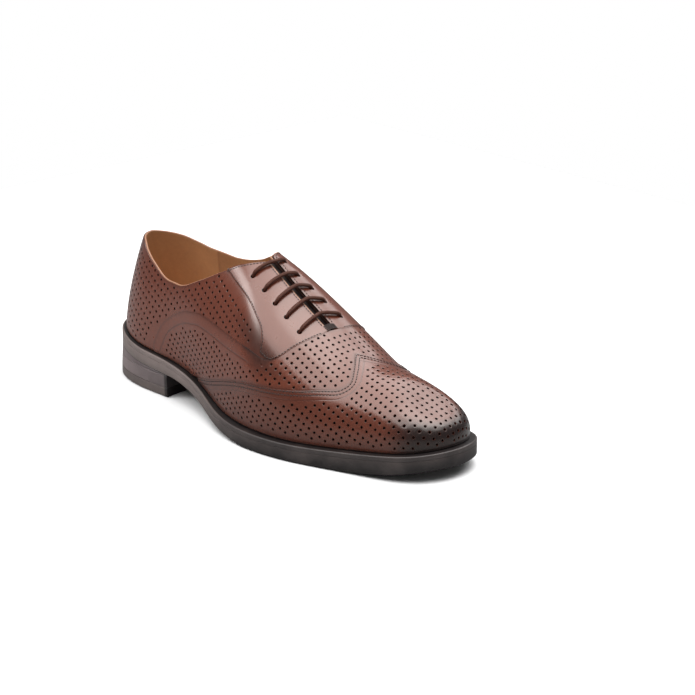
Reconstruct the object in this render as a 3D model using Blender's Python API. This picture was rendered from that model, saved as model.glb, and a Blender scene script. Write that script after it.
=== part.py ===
"""Right-foot oxford shoe with a wing cap, built round one last function.

All sizes here are millimetres in the last's own frame: x runs from the heel's back to the toe, y to the
inner (medial) side and z up from the floor. Meshes are written in metres, with the origin under the middle
of the sole.
"""

import bmesh
import bpy
import numpy as np

# Driving sizes
MM = 0.001
CLEAR = 0.3
WALL = 2.0
FACING_GAP = 5.6
HEEL_BREAST_X = 70.0
HEEL_BREAST_HOLLOW = 2.5
HEEL_BREAST_FLAT = 0.35
CORNER_SPACE = 2.0
TOP_PIECE_HEIGHT = 6.0
HEEL_FLARE = 3.4
HEEL_FOOT_TUCK = 0.4
WELT_HEIGHT = 3.0
WELT_TUCK = 2.3
INSOLE_TUCK = 2.8
INSOLE_RISE = 1.5
EDGE_ROUND = 0.8
TONGUE_THICKNESS = 1.8
TONGUE_CLEAR = 0.8
TONGUE_TOP_ALONG = 143.0
TONGUE_FRONT_ALONG = 232.0
FACING_TOP_ALONG = 155.0
THROAT_ALONG = 221.5
THROAT_ROUND = 6.0
OVERLAY_CLEAR = 0.6
VAMP_THICKNESS = 0.6
FACING_THICKNESS = 0.7
WING_THICKNESS = 0.8
OVERLAY_FOOT_GIRTH = 0.01
SEAM_GAP = 0.8
GIRTH_LENGTH = 100.0
LACE_RADIUS = 1.2
LACE_SIDES = 6

# The last: a row for each section from heel to toe. feather is the height of the lower edge of the upper,
# ridge the line along the top where both sides meet. lean pushes the wall out above the feather edge, rise is
# how high that push acts, and crown is how full the wall is below the ridge.
LAST_COLUMNS = ("x", "lateral", "medial", "feather", "ridge_x", "ridge_z",
                "lean_lateral", "lean_medial", "rise", "crown_lateral", "crown_medial")
LAST_ROWS = {
    "heel_back":   (0.0, 0.0, 0.0, 34.0, 44.0, 139.0, 0.8, 0.8, 0.36, 0.46, 0.46),
    "heel_corner": (6.6, -18.7, 18.4, 32.7, 50.7, 137.7, -1.0, -1.0, 0.31, 0.45, 0.45),
    "heel_side":   (28.3, -30.4, 29.3, 28.6, 60.2, 135.6, 0.2, 0.2, 0.35, 0.50, 0.50),
    "heel_front":  (68.3, -32.1, 29.8, 25.3, 84.8, 128.0, 6.0, 4.1, 0.42, 0.61, 0.60),
    "waist":       (105.9, -35.9, 25.0, 19.3, 118.0, 115.0, 12.0, 7.0, 0.45, 0.65, 0.67),
    "shank":       (142.0, -46.9, 27.1, 12.8, 146.4, 103.1, 1.5, 7.9, 0.53, 0.70, 0.89),
    "joint":       (178.0, -50.5, 35.8, 11.0, 170.9, 88.1, 5.6, 6.0, 0.52, 0.785, 0.88),
    "ball":        (205.0, -46.1, 41.9, 11.0, 199.4, 70.0, 4.5, 4.6, 0.47, 0.74, 0.77),
    "toe_base":    (234.0, -36.1, 40.2, 12.3, 225.4, 56.0, 3.6, 3.6, 0.48, 0.70, 0.70),
    "toe_side":    (262.0, -26.2, 36.0, 14.8, 247.1, 51.0, 3.0, 3.0, 0.53, 0.70, 0.70),
    "toe_corner":  (282.5, -15.0, 29.4, 17.4, 258.6, 47.0, 2.6, 2.5, 0.59, 0.68, 0.68),
    "toe_tip":     (292.0, 8.5, 8.5, 19.0, 264.5, 43.8, 2.0, 2.0, 0.62, 0.66, 0.66),
}
# Sideways place of the ridge line: x, y.
RIDGE_LINE = {"heel": (0.0, 0.0), "ankle": (60.0, 0.0), "waist": (105.0, -2.5), "collar": (130.0, -6.1),
              "instep": (160.0, -8.0), "throat": (195.0, -5.4), "vamp": (230.0, -1.6), "toe": (263.0, 4.5)}
# Height of the collar: mm along the feather edge from the heel's back, height on each side.
TOPLINE = {"back": (0.0, 94.0, 94.0), "back_corner": (27.0, 93.3, 90.6), "back_side": (42.0, 89.8, 87.0),
           "ankle_rear": (57.0, 84.8, 83.8), "ankle": (80.0, 77.3, 82.8), "ankle_front": (90.0, 77.3, 83.8),
           "rise": (115.0, 86.5, 90.3), "facing_rear": (131.0, 95.0, 97.0),
           "facing_mid": (145.0, 102.3, 102.6), "facing_top": (156.0, 104.3, 104.3)}
# Side edge of the tongue: mm along the feather edge, girth.
TONGUE_SIDE = {"top": (143.0, 0.80), "lacing": (190.0, 0.75), "front": (232.0, 0.84)}
# Sole: x, how far it stands out past the feather edge, thickness with its welt.
SOLE_ROWS = {"heel_back": (0.0, 4.3, 10.3), "heel_front": (62.0, 4.3, 10.1), "waist_rear": (82.0, 4.3, 9.0),
             "waist": (112.0, 4.4, 9.0), "shank": (140.0, 5.2, 9.6), "ball": (175.0, 5.9, 11.0),
             "toe_base": (250.0, 5.9, 11.8), "toe_tip": (290.0, 5.3, 10.8)}
# Tread line under the forefoot: x, height.
TREAD_ROWS = {"flat_rear": (165.0, 0.0), "flat_front": (226.0, 0.0), "spring_start": (240.0, 0.5),
              "spring": (262.0, 2.3), "toe_tip": (290.0, 7.9)}
# Columns of the mesh along the feather edge: where a stretch starts and how many steps it has.
COLUMN_STRETCHES = ((0.0, 6), (44.2, 7), (113.0, 7), (FACING_TOP_ALONG, 8), (THROAT_ALONG, 8), (282.1, 8))
# Rows of the mesh up the wall or panel, as parts of the way to its upper edge: close round the shoulder.
GIRTH_STRETCHES = ((0.0, 2), (0.30, 2), (0.50, 7), (0.88, 2))
WING_STRETCHES = ((0.0, 3), (0.42, 4), (0.9, 1))
PANEL_STRETCHES = ((0.0, 5),)

COLOURS = {
    "upper": ((0.16, 0.062, 0.042), 0.42),
    "tongue": ((0.10, 0.045, 0.030), 0.55),
    "insole": ((0.42, 0.22, 0.10), 0.60),
    "sole": ((0.055, 0.045, 0.042), 0.50),
    "heel": ((0.085, 0.070, 0.066), 0.48),
    "overlay": ((0.13, 0.050, 0.034), 0.40),
    "lace": ((0.05, 0.022, 0.018), 0.55),
}


def column(rows, index):
    return np.array([row[index] for row in rows.values()], float)


def natural_spline(knots, values):
    """Function of x, through the points, straight beyond both ends; it takes derivative=1 too."""
    steps = np.diff(knots)
    system = np.eye(len(knots))
    right = np.zeros(len(knots))
    for i in range(1, len(knots) - 1):
        system[i, i - 1:i + 2] = steps[i - 1] / 6, (steps[i - 1] + steps[i]) / 3, steps[i] / 6
        right[i] = (values[i + 1] - values[i]) / steps[i] - (values[i] - values[i - 1]) / steps[i - 1]
    bends = np.linalg.solve(system, right)

    def inside(x, derivative):
        i = np.clip(np.searchsorted(knots, x, side="right") - 1, 0, len(steps) - 1)
        h = steps[i]
        a = (knots[i + 1] - x) / h
        b = (x - knots[i]) / h
        if derivative:
            slope = (values[i + 1] - values[i]) / h
            return slope + ((3 * b * b - 1) * bends[i + 1] - (3 * a * a - 1) * bends[i]) * h / 6
        curve = ((a ** 3 - a) * bends[i] + (b ** 3 - b) * bends[i + 1]) * h * h / 6
        return a * values[i] + b * values[i + 1] + curve

    def spline(x, derivative=0):
        x = np.asarray(x, float)
        held = np.clip(x, knots[0], knots[-1])
        if derivative:
            return inside(held, 1)
        return inside(held, 0) + inside(held, 1) * (x - held)

    return spline


def periodic_spline(knots, values):
    """Function of the distance round a closed loop, where the last knot repeats the first."""
    count = len(knots) - 1
    steps = np.diff(knots)
    system = np.zeros((count, count))
    right = np.zeros((count, values.shape[1]))
    for i in range(count):
        before, after = steps[i - 1], steps[i]
        system[i, i - 1] += before / 6
        system[i, i] += (before + after) / 3
        system[i, (i + 1) % count] += after / 6
        last = values[i - 1 if i else count - 1]
        right[i] = (values[i + 1] - values[i]) / after - (values[i] - last) / before
    bends = np.linalg.solve(system, right)
    bends = np.vstack([bends, bends[:1]])

    def spline(u):
        u = np.mod(np.asarray(u, float), knots[-1])
        i = np.clip(np.searchsorted(knots, u, side="right") - 1, 0, count - 1)
        h = steps[i][..., None]
        a = (knots[i + 1] - u)[..., None] / h
        b = (u - knots[i])[..., None] / h
        curve = ((a ** 3 - a) * bends[i] + (b ** 3 - b) * bends[i + 1]) * h * h / 6
        return a * values[i] + b * values[i + 1] + curve

    return spline


def steady_curve(knots, values):
    """Smooth function through the points that never swings past them (limited Hermite slopes)."""
    slopes = np.diff(values) / np.diff(knots)
    tangents = np.zeros(len(knots))
    for i in range(1, len(knots) - 1):
        if slopes[i - 1] * slopes[i] > 0:
            tangents[i] = 2 / (1 / slopes[i - 1] + 1 / slopes[i])
    tangents[0], tangents[-1] = slopes[0], slopes[-1]

    def curve(x):
        x = np.clip(np.asarray(x, float), knots[0], knots[-1])
        i = np.clip(np.searchsorted(knots, x, side="right") - 1, 0, len(knots) - 2)
        h = knots[i + 1] - knots[i]
        s = (x - knots[i]) / h
        start = values[i] * (1 + 2 * s) * (1 - s) ** 2 + tangents[i] * h * s * (1 - s) ** 2
        return start + values[i + 1] * s * s * (3 - 2 * s) + tangents[i + 1] * h * s * s * (s - 1)

    return curve


def loop_knots():
    """Distance along the feather edge of each row: the mean of both sides, which then share ridge points."""
    x, lateral, medial = (column(LAST_ROWS, i) for i in range(3))
    steps = (np.hypot(np.diff(x), np.diff(lateral)) + np.hypot(np.diff(x), np.diff(medial))) / 2
    return np.concatenate([[0.0], np.cumsum(steps)])


KNOTS = loop_knots()
TOE_ALONG = KNOTS[-1]
ROUND = 2 * TOE_ALONG

# Wing cap and vamp panel, alike on both sides: where a section starts at the feather edge, the seam between
# the two panels, the upper edge of the vamp panel, and the mesh steps to the next section.
PANEL_COLUMNS = ("foot_along", "seam_along", "seam_girth", "top_along", "top_girth", "steps")
PANEL_ROWS = {
    "rear":        (69.0, 69.0, 0.0, 69.3, 0.05, 1),
    "rear_round":  (75.5, 75.5, 0.0, 77.5, 0.154, 2),
    "counter":     (87.0, 87.0, 0.0, 89.1, 0.232, 2),
    "quarter":     (107.0, 107.0, 0.0, 110.5, 0.323, 2),
    "waist":       (121.0, 121.0, 0.032, 129.9, 0.366, 4),
    "shank":       (161.5, 161.0, 0.156, 157.5, 0.372, 2),
    "joint":       (185.7, 184.7, 0.230, 186.4, 0.424, 2),
    "facing_foot": (206.0, 205.0, 0.305, 198.0, 0.447, 2),
    "ball":        (223.0, 222.0, 0.390, 206.0, 0.515, 2),
    "scoop":       (241.0, 239.5, 0.512, 211.2, 0.625, 2),
    "scoop_front": (257.0, 253.0, 0.680, 216.5, 0.770, 3),
    "peak_side":   (269.0, 250.0, 0.910, 220.0, 0.900, 2),
    "peak":        (278.0, 242.0, 1.0, 221.5, 1.0, 3),
    "toe_side":    (292.0, 262.0, 1.0, 221.5, 1.0, 3),
    "toe_front":   (308.0, 290.0, 1.0, 221.5, 1.0, 4),
    "toe_tip":     (TOE_ALONG, TOE_ALONG, 1.0, 221.5, 1.0, 0),
}
# Facing on each side of the lacing: its rear seam, the place on the lacing gap across from it, mesh steps.
FACING_COLUMNS = ("rear_along", "rear_girth", "gap_along", "steps")
FACING_ROWS = {
    "top":         (135.6, 0.668, 155.0, 3),
    "rear_upper":  (151.9, 0.650, 168.0, 2),
    "rear_middle": (170.1, 0.644, 180.0, 2),
    "rear_lower":  (181.7, 0.620, 190.0, 1),
    "rear_turn":   (188.7, 0.596, 197.0, 1),
    "foot_rear":   (193.6, 0.532, 203.0, 1),
    "foot":        (195.0, 0.462, 207.0, 1),
    "foot_front":  (200.5, 0.470, 211.0, 1),
    "front_lower": (207.0, 0.550, 214.0, 1),
    "front":       (211.4, 0.665, 217.0, 1),
    "front_upper": (216.7, 0.812, 219.0, 1),
    "throat":      (219.2, 0.910, 220.2, 0),
}
# Lace bars: mm along the feather edge, and the girth at which the bar's ends lie on each side.
LACE_BARS = {"top": (160.0, 0.78, 0.90), "second": (176.5, 0.79, 0.90), "third": (189.5, 0.795, 0.88),
             "fourth": (200.5, 0.793, 0.87), "lowest": (211.2, 0.785, 0.847)}


def loop_values():
    """Rows of the lateral side, then of the medial side back to the heel."""
    table = np.array(list(LAST_ROWS.values()), float)
    sides = []
    for side in ("lateral", "medial"):
        names = ("x", side, "ridge_x", "lean_" + side, "rise", "crown_" + side)
        sides.append(table[:, [LAST_COLUMNS.index(name) for name in names]])
    return np.vstack([sides[0], sides[1][::-1][1:]])


section = periodic_spline(np.concatenate([KNOTS, ROUND - KNOTS[::-1][1:]]), loop_values())
feather_z = natural_spline(column(LAST_ROWS, 0), column(LAST_ROWS, 3))
ridge_z = natural_spline(column(LAST_ROWS, 4), column(LAST_ROWS, 5))
ridge_y = natural_spline(column(RIDGE_LINE, 0), column(RIDGE_LINE, 1))
sole_reach = steady_curve(column(SOLE_ROWS, 0), column(SOLE_ROWS, 1))
sole_thickness = steady_curve(column(SOLE_ROWS, 0), column(SOLE_ROWS, 2))
tread_z = steady_curve(column(TREAD_ROWS, 0), column(TREAD_ROWS, 1))
topline_lateral = steady_curve(column(TOPLINE, 0), column(TOPLINE, 1))
topline_medial = steady_curve(column(TOPLINE, 0), column(TOPLINE, 2))


def outward(u):
    """Plan normal of the feather edge."""
    step = 0.2
    along = section(u + step)[..., :2] - section(u - step)[..., :2]
    along /= np.linalg.norm(along, axis=-1, keepdims=True)
    return np.stack([along[..., 1], -along[..., 0]], -1)


def last_surface(u, girth):
    """Outside of the upper: u mm round the feather edge, lateral side first; girth 0 there and 1 on top."""
    row = section(u)
    foot = np.stack([row[..., 0], row[..., 1], feather_z(row[..., 0])], -1)
    top = np.stack([row[..., 2], ridge_y(row[..., 2]), ridge_z(row[..., 2])], -1)
    low = foot.copy()
    low[..., :2] += outward(u) * row[..., 3:4]
    low[..., 2] += row[..., 4] * (top[..., 2] - foot[..., 2])
    reach = (foot - top)[..., :2] * row[..., 5:6]
    high = top.copy()
    high[..., :2] += reach
    high[..., 2] += ridge_z(row[..., 2], 1) * reach[..., 0]
    g = np.asarray(girth, float)[..., None]
    return (1 - g) ** 3 * foot + 3 * (1 - g) ** 2 * g * low + 3 * (1 - g) * g * g * high + g ** 3 * top


def last_normal(u, girth):
    """Unit normal of the surface, facing out. Close to the ridge it is read a little below it."""
    along_step, girth_step = 0.5, 0.005
    girth = np.clip(girth, 0.01, 0.985)
    across = last_surface(u + along_step, girth) - last_surface(u - along_step, girth)
    up = last_surface(u, girth + girth_step) - last_surface(u, girth - girth_step)
    normal = np.cross(across, up)
    return normal / np.linalg.norm(normal, axis=-1, keepdims=True)


def solve_girth(u, error):
    """Girth at which error(points) changes from negative to positive, by halving."""
    low = np.zeros(np.shape(u))
    high = np.ones(np.shape(u))
    for _ in range(30):
        middle = (low + high) / 2
        below = error(last_surface(u, middle)) < 0
        low = np.where(below, middle, low)
        high = np.where(below, high, middle)
    return (low + high) / 2


def edge_girth(u):
    """Upper edge of the upper: collar, then facing edge at the lacing gap, then the closed ridge."""
    u = np.mod(u, ROUND)
    along = np.minimum(u, ROUND - u)
    height = np.where(u <= TOE_ALONG, topline_lateral(along), topline_medial(along))
    collar = solve_girth(u, lambda points: points[..., 2] - height)
    close = np.clip((THROAT_ALONG - along) / THROAT_ROUND, 0.0, 1.0)
    half = FACING_GAP / 2 * np.sqrt(close * (2 - close))
    gap = solve_girth(u, lambda points: half - abs(points[..., 1] - ridge_y(points[..., 0])))
    lacing = np.where(along < THROAT_ALONG - 0.01, gap, 1.0)
    behind = np.where(along > TOPLINE["rise"][0], np.minimum(collar, gap), collar)
    return np.where(along <= FACING_TOP_ALONG, behind, lacing)


def spaced(stretches, end):
    """Places from stretches of equal steps, up to the end."""
    starts = [start for start, _ in stretches] + [end]
    counts = [count for _, count in stretches]
    steps = [np.linspace(a, b, count, endpoint=False) for a, b, count in zip(starts, starts[1:], counts)]
    return np.concatenate(steps + [[end]])


ALONG = spaced(COLUMN_STRETCHES, TOE_ALONG)
PART_WAY = spaced(GIRTH_STRETCHES, 1.0)
BOTH_SIDES = np.concatenate([ALONG, (ROUND - ALONG[::-1])[1:-1]])


def edge_outline(reach):
    """Plan outline that stands out from the feather edge by reach, lateral and medial side, heel to toe."""
    sides = []
    for side in (ALONG, ROUND - ALONG):
        points = section(side)[:, :2]
        distance = reach(points[:, 0]) if callable(reach) else reach
        sides.append(points + outward(side) * np.reshape(distance, (-1, 1)))
    return sides


def centre_of_sole():
    points = np.vstack(edge_outline(sole_reach))
    return (points.min(axis=0) + points.max(axis=0)) / 2


CENTRE = np.append(centre_of_sole(), 0.0)


def material(name, colour, roughness):
    made = bpy.data.materials.new(name)
    made.use_nodes = True
    shader = made.node_tree.nodes["Principled BSDF"]
    shader.inputs["Base Color"].default_value = (*colour, 1.0)
    shader.inputs["Roughness"].default_value = roughness
    return made


def add_object(name, points, faces, finish, sharp_degrees=40):
    """Object from points in last millimetres, with its faces turned outward."""
    mesh = bpy.data.meshes.new(name)
    mesh.from_pydata(((np.asarray(points) - CENTRE) * MM).tolist(), [], faces)
    shape = bmesh.new()
    shape.from_mesh(mesh)
    bmesh.ops.remove_doubles(shape, verts=shape.verts, dist=1e-6)
    bmesh.ops.recalc_face_normals(shape, faces=shape.faces)
    shape.to_mesh(mesh)
    shape.free()
    mesh.shade_smooth()
    mesh.set_sharp_from_angle(angle=np.radians(sharp_degrees))
    mesh.materials.append(FINISHES[finish])
    made = bpy.data.objects.new(name, mesh)
    bpy.context.scene.collection.objects.link(made)
    made.parent = ROOT
    return made


def grid_faces(rows, count):
    """Quads of a grid whose points are listed row by row."""
    corners = np.arange(rows * count).reshape(rows, count)
    quads = np.stack([corners[:-1, :-1], corners[1:, :-1], corners[1:, 1:], corners[:-1, 1:]], -1)
    return quads.reshape(-1, 4)


def welded(points):
    """For each point the number of the first one at its place."""
    _, first, index = np.unique(np.round(points, 3), axis=0, return_index=True, return_inverse=True)
    return first[index.reshape(-1)]


def shell(name, u, girth, inner, outer, finish):
    """Closed sheet on the last between two offsets from it, from grids of u and girth."""
    base = last_surface(u, girth).reshape(-1, 3)
    normal = last_normal(u, girth).reshape(-1, 3)
    same = welded(base)
    shared = np.zeros_like(normal)
    np.add.at(shared, same, normal)
    shared = shared[same] / np.linalg.norm(shared[same], axis=1, keepdims=True)
    base = base[same]
    faces = same[grid_faces(*np.shape(u))]
    edges = {}
    for face in faces:
        ring = list(dict.fromkeys(face.tolist()))
        for start, end in zip(ring, ring[1:] + ring[:1]):
            edges[(start, end)] = edges.get((start, end), 0) + 1
    total = len(base)
    walls = [(a, b, b + total, a + total) for a, b in edges if (b, a) not in edges]
    rings = [list(dict.fromkeys(face.tolist())) for face in faces]
    outside = [ring for ring in rings if len(ring) > 2]
    inside = [[i + total for i in reversed(ring)] for ring in outside]
    points = np.vstack([base + shared * outer, base + shared * inner])
    used = sorted({i for ring in outside + inside for i in ring})
    number = {old: new for new, old in enumerate(used)}
    all_faces = [[number[i] for i in ring] for ring in outside + inside + [list(wall) for wall in walls]]
    return add_object(name, points[used], all_faces, finish)


def ladder(rings, name, finish, closed=True):
    """Solid from rings stacked bottom to top, each a pair of sides from heel to toe.

    The lowest and highest ring are filled with rungs between the sides; open rings end in a straight rung.
    """
    count = len(rings[0][0])
    loops = []
    for lateral, medial in rings:
        back = medial[::-1][1:-1] if closed else medial[::-1][:-1]
        loops.append(np.vstack([lateral, back]))
    size = len(loops[0])
    points = np.vstack(loops)
    faces = []
    for level in range(len(loops) - 1):
        for i in range(size):
            j = (i + 1) % size
            low, high = level * size, (level + 1) * size
            faces.append((low + i, low + j, high + j, high + i))
    for level in (0, len(loops) - 1):
        start = level * size
        for i in range(count - 1):
            pair = [i, i + 1, size - i - 1, (size - i) % size]
            faces.append([start + k for k in dict.fromkeys(pair)])
    return add_object(name, points, faces, finish)


def lifted(sides, height):
    """Plan sides with a height added to each point, a number or a function of x."""
    made = []
    for side in sides:
        z = height(side[:, 0]) if callable(height) else np.full(len(side), float(height))
        made.append(np.column_stack([side, z]))
    return made


def sole_top(x):
    return feather_z(x) - CLEAR


def welt_floor(x):
    return sole_top(x) - WELT_HEIGHT


def sole_bottom(x):
    arch = np.maximum(feather_z(x) - sole_thickness(x), 0.0)
    return np.where(x < TREAD_ROWS["flat_rear"][0], arch, tread_z(x))


def add_upper():
    u = np.append(BOTH_SIDES, ROUND)
    girth = edge_girth(u)[:, None] * PART_WAY[None, :]
    shell("upper", np.repeat(u[:, None], len(PART_WAY), 1), girth, -WALL, 0.0, "upper")


def add_tongue():
    along = ALONG[(ALONG > TONGUE_TOP_ALONG) & (ALONG < TONGUE_FRONT_ALONG)]
    low = np.interp(along, *zip(*TONGUE_SIDE.values()))
    rise = np.linspace(0.0, 1.0, 7)
    lateral = low[:, None] + (1 - low[:, None]) * rise[None, :]
    girth = np.hstack([lateral, lateral[:, ::-1][:, 1:]])
    side = np.repeat(along[:, None], len(rise), 1)
    u = np.hstack([side, ROUND - side[:, 1:]])
    top = -(WALL + TONGUE_CLEAR)
    shell("tongue", u, girth, top - TONGUE_THICKNESS, top, "tongue")


def read_rows(table, columns, first, last):
    """Columns of a table read off smooth curves, from one named row to another."""
    names = list(table)
    start, end = names.index(first), names.index(last)
    steps = column(table, columns.index("steps")).astype(int)
    place = spaced([(float(i), steps[i]) for i in range(start, end)], float(end))
    number = np.arange(len(names), dtype=float)
    return {name: steady_curve(number, column(table, i))(place) for i, name in enumerate(columns)}


def set_aside(along, girth, distance):
    """A line on the upper moved by distance to the left of its own direction."""
    run = np.gradient(along)
    rise = np.gradient(girth) * GIRTH_LENGTH
    size = np.hypot(run, rise)
    return along - rise / size * distance, girth + run / size * distance / GIRTH_LENGTH


def ruled(start, end, stretches):
    """Grid from a line to another, each a pair of along and girth."""
    way = spaced(stretches, 1.0)[None, :]
    return [a[:, None] + (b - a)[:, None] * way for a, b in zip(start, end)]


def with_other_side(along, girth, shared):
    """Grid of the lateral side, followed by its medial copy; the last column is one for both if shared."""
    back = slice(-2, None, -1) if shared else slice(None, None, -1)
    return np.vstack([along, (ROUND - along)[back]]), np.vstack([girth, girth[back]])


def wing_seam(rows, distance):
    """Seam of the wing cap set aside by distance, with the peak and what is ahead of it on the ridge."""
    along, girth = set_aside(rows["seam_along"], rows["seam_girth"], distance)
    on_ridge = rows["seam_girth"] >= 1.0
    ahead = np.minimum(rows["seam_along"] - distance, TOE_ALONG)
    return np.where(on_ridge, ahead, along), np.where(on_ridge, 1.0, girth)


def add_wing_cap():
    rows = read_rows(PANEL_ROWS, PANEL_COLUMNS, "waist", "toe_tip")
    foot = rows["foot_along"], np.full(len(rows["foot_along"]), OVERLAY_FOOT_GIRTH)
    grid = ruled(foot, wing_seam(rows, -SEAM_GAP / 2), WING_STRETCHES)
    outside = OVERLAY_CLEAR + WING_THICKNESS
    shell("wing_cap", *with_other_side(*grid, shared=True), OVERLAY_CLEAR, outside, "overlay")


def add_vamp():
    rows = read_rows(PANEL_ROWS, PANEL_COLUMNS, "rear", "peak")
    along, girth = wing_seam(rows, SEAM_GAP / 2)
    seam = along, np.maximum(girth, OVERLAY_FOOT_GIRTH)
    grid = ruled(seam, (rows["top_along"], rows["top_girth"]), PANEL_STRETCHES)
    outside = OVERLAY_CLEAR + VAMP_THICKNESS
    shell("vamp", *with_other_side(*grid, shared=False), OVERLAY_CLEAR, outside, "overlay")


def add_facings():
    rows = read_rows(FACING_ROWS, FACING_COLUMNS, "top", "throat")
    outside = OVERLAY_CLEAR + FACING_THICKNESS
    for name, side in (("facing_lateral", 1), ("facing_medial", -1)):
        gap = edge_girth(rows["gap_along"] * side)
        rear = rows["rear_along"], rows["rear_girth"]
        along, girth = ruled(rear, (rows["gap_along"], gap), PANEL_STRETCHES)
        girth = np.minimum(girth, edge_girth(along * side))
        shell(name, np.mod(along * side, ROUND), girth, OVERLAY_CLEAR, outside, "overlay")


def add_laces():
    lift = OVERLAY_CLEAR + FACING_THICKNESS + CLEAR + LACE_RADIUS
    turns = np.arange(LACE_SIDES) * 2 * np.pi / LACE_SIDES
    for number, (along, lateral, medial) in enumerate(LACE_BARS.values(), 1):
        girth = np.concatenate([np.linspace(lateral, 1.0, 6), np.linspace(1.0, medial, 6)[1:]])
        u = np.where(np.arange(len(girth)) < 6, along, ROUND - along)
        normal = last_normal(u, girth)
        line = last_surface(u, girth) + normal * lift
        ahead = np.gradient(line, axis=0)
        ahead /= np.linalg.norm(ahead, axis=1, keepdims=True)
        beside = np.cross(ahead, normal)
        rings = [line + LACE_RADIUS * (np.cos(turn) * normal + np.sin(turn) * beside) for turn in turns]
        points = np.stack(rings, axis=1).reshape(-1, 3)
        faces = [list(range(LACE_SIDES)), list(range(len(points) - LACE_SIDES, len(points)))]
        for low in range(0, len(points) - LACE_SIDES, LACE_SIDES):
            for i in range(LACE_SIDES):
                j = (i + 1) % LACE_SIDES
                faces.append([low + i, low + j, low + LACE_SIDES + j, low + LACE_SIDES + i])
        add_object(f"lace_bar_{number}", points, faces, "lace")


def add_insole():
    outline = edge_outline(-INSOLE_TUCK)
    floor = lifted(outline, welt_floor)
    surface = lifted(outline, lambda x: feather_z(x) + INSOLE_RISE)
    ladder([floor, surface], "insole", "insole")


def add_welt():
    edge = edge_outline(sole_reach)
    rounded = edge_outline(lambda x: sole_reach(x) - EDGE_ROUND)
    inner = edge_outline(-WELT_TUCK)
    rings = [lifted(inner, welt_floor), lifted(edge, welt_floor),
             lifted(edge, lambda x: sole_top(x) - EDGE_ROUND), lifted(rounded, sole_top),
             lifted(inner, sole_top)]
    loops = [np.vstack([lateral, medial[::-1][1:-1]]) for lateral, medial in rings]
    size = len(loops[0])
    faces = []
    for level in range(len(loops)):
        low = level * size
        high = (level + 1) % len(loops) * size
        faces += [(low + i, low + (i + 1) % size, high + (i + 1) % size, high + i) for i in range(size)]
    add_object("welt", np.vstack(loops), faces, "sole")


def add_outsole():
    edge = edge_outline(sole_reach)
    tucked = edge_outline(lambda x: sole_reach(x) - EDGE_ROUND)
    ladder([lifted(tucked, sole_bottom), lifted(edge, lambda x: sole_bottom(x) + EDGE_ROUND),
            lifted(edge, lambda x: welt_floor(x) - CLEAR)], "outsole", "sole")


def heel_sides(reach):
    """Outline of the heel as far as its breast, which is a little hollow across the middle."""
    sides = []
    for side in edge_outline(reach):
        keep = side[side[:, 0] < HEEL_BREAST_X - CORNER_SPACE]
        before, after = keep[-1], side[len(keep)]
        part_way = (HEEL_BREAST_X - before[0]) / (after[0] - before[0])
        corner = before + (after - before) * part_way
        middle = np.array([HEEL_BREAST_X - HEEL_BREAST_HOLLOW, corner[1] * HEEL_BREAST_FLAT])
        sides.append(np.vstack([keep, corner, middle]))
    return sides


def add_heel():
    top = heel_sides(sole_reach)
    foot = heel_sides(HEEL_FLARE)
    toe_in = heel_sides(HEEL_FLARE - HEEL_FOOT_TUCK)
    ladder([lifted(foot, TOP_PIECE_HEIGHT + CLEAR), lifted(top, lambda x: sole_bottom(x) - CLEAR)],
           "heel_block", "heel", closed=False)
    ladder([lifted(toe_in, 0.0), lifted(foot, HEEL_FOOT_TUCK), lifted(foot, TOP_PIECE_HEIGHT)],
           "heel_top_piece", "sole", closed=False)


for old in list(bpy.data.objects):
    bpy.data.objects.remove(old, do_unlink=True)
FINISHES = {name: material(name, colour, roughness) for name, (colour, roughness) in COLOURS.items()}
ROOT = bpy.data.objects.new("shoe", None)
bpy.context.scene.collection.objects.link(ROOT)

add_outsole()
add_welt()
add_heel()
add_insole()
add_upper()
add_tongue()
add_vamp()
add_wing_cap()
add_facings()
add_laces()
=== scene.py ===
import math
import bpy
import numpy as np
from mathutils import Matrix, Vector, geometry


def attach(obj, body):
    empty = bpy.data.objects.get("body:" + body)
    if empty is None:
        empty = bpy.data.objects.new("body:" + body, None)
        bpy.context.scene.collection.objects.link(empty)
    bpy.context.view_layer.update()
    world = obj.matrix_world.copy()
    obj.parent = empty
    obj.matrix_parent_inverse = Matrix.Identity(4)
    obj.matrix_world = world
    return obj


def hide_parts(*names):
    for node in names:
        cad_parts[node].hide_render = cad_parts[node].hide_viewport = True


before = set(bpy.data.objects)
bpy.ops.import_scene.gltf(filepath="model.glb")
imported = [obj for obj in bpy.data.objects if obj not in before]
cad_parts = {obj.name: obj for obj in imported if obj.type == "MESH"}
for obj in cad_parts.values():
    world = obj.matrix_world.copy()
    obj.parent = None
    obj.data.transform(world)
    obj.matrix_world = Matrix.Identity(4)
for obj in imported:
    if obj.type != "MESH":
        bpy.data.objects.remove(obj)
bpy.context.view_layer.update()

# The last, in its own millimetres: x from the heel's back to the toe, y to the inner side, z up
mm = 0.001
soleMiddle = np.array([146.5, -4.21748463, 0.0])  # where the frame's origin lies on the last
upperWall = 2.0
facingGap = 5.6
facingTopAlong = 155.0
throatAlong = 221.5
throatRound = 6.0

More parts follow.
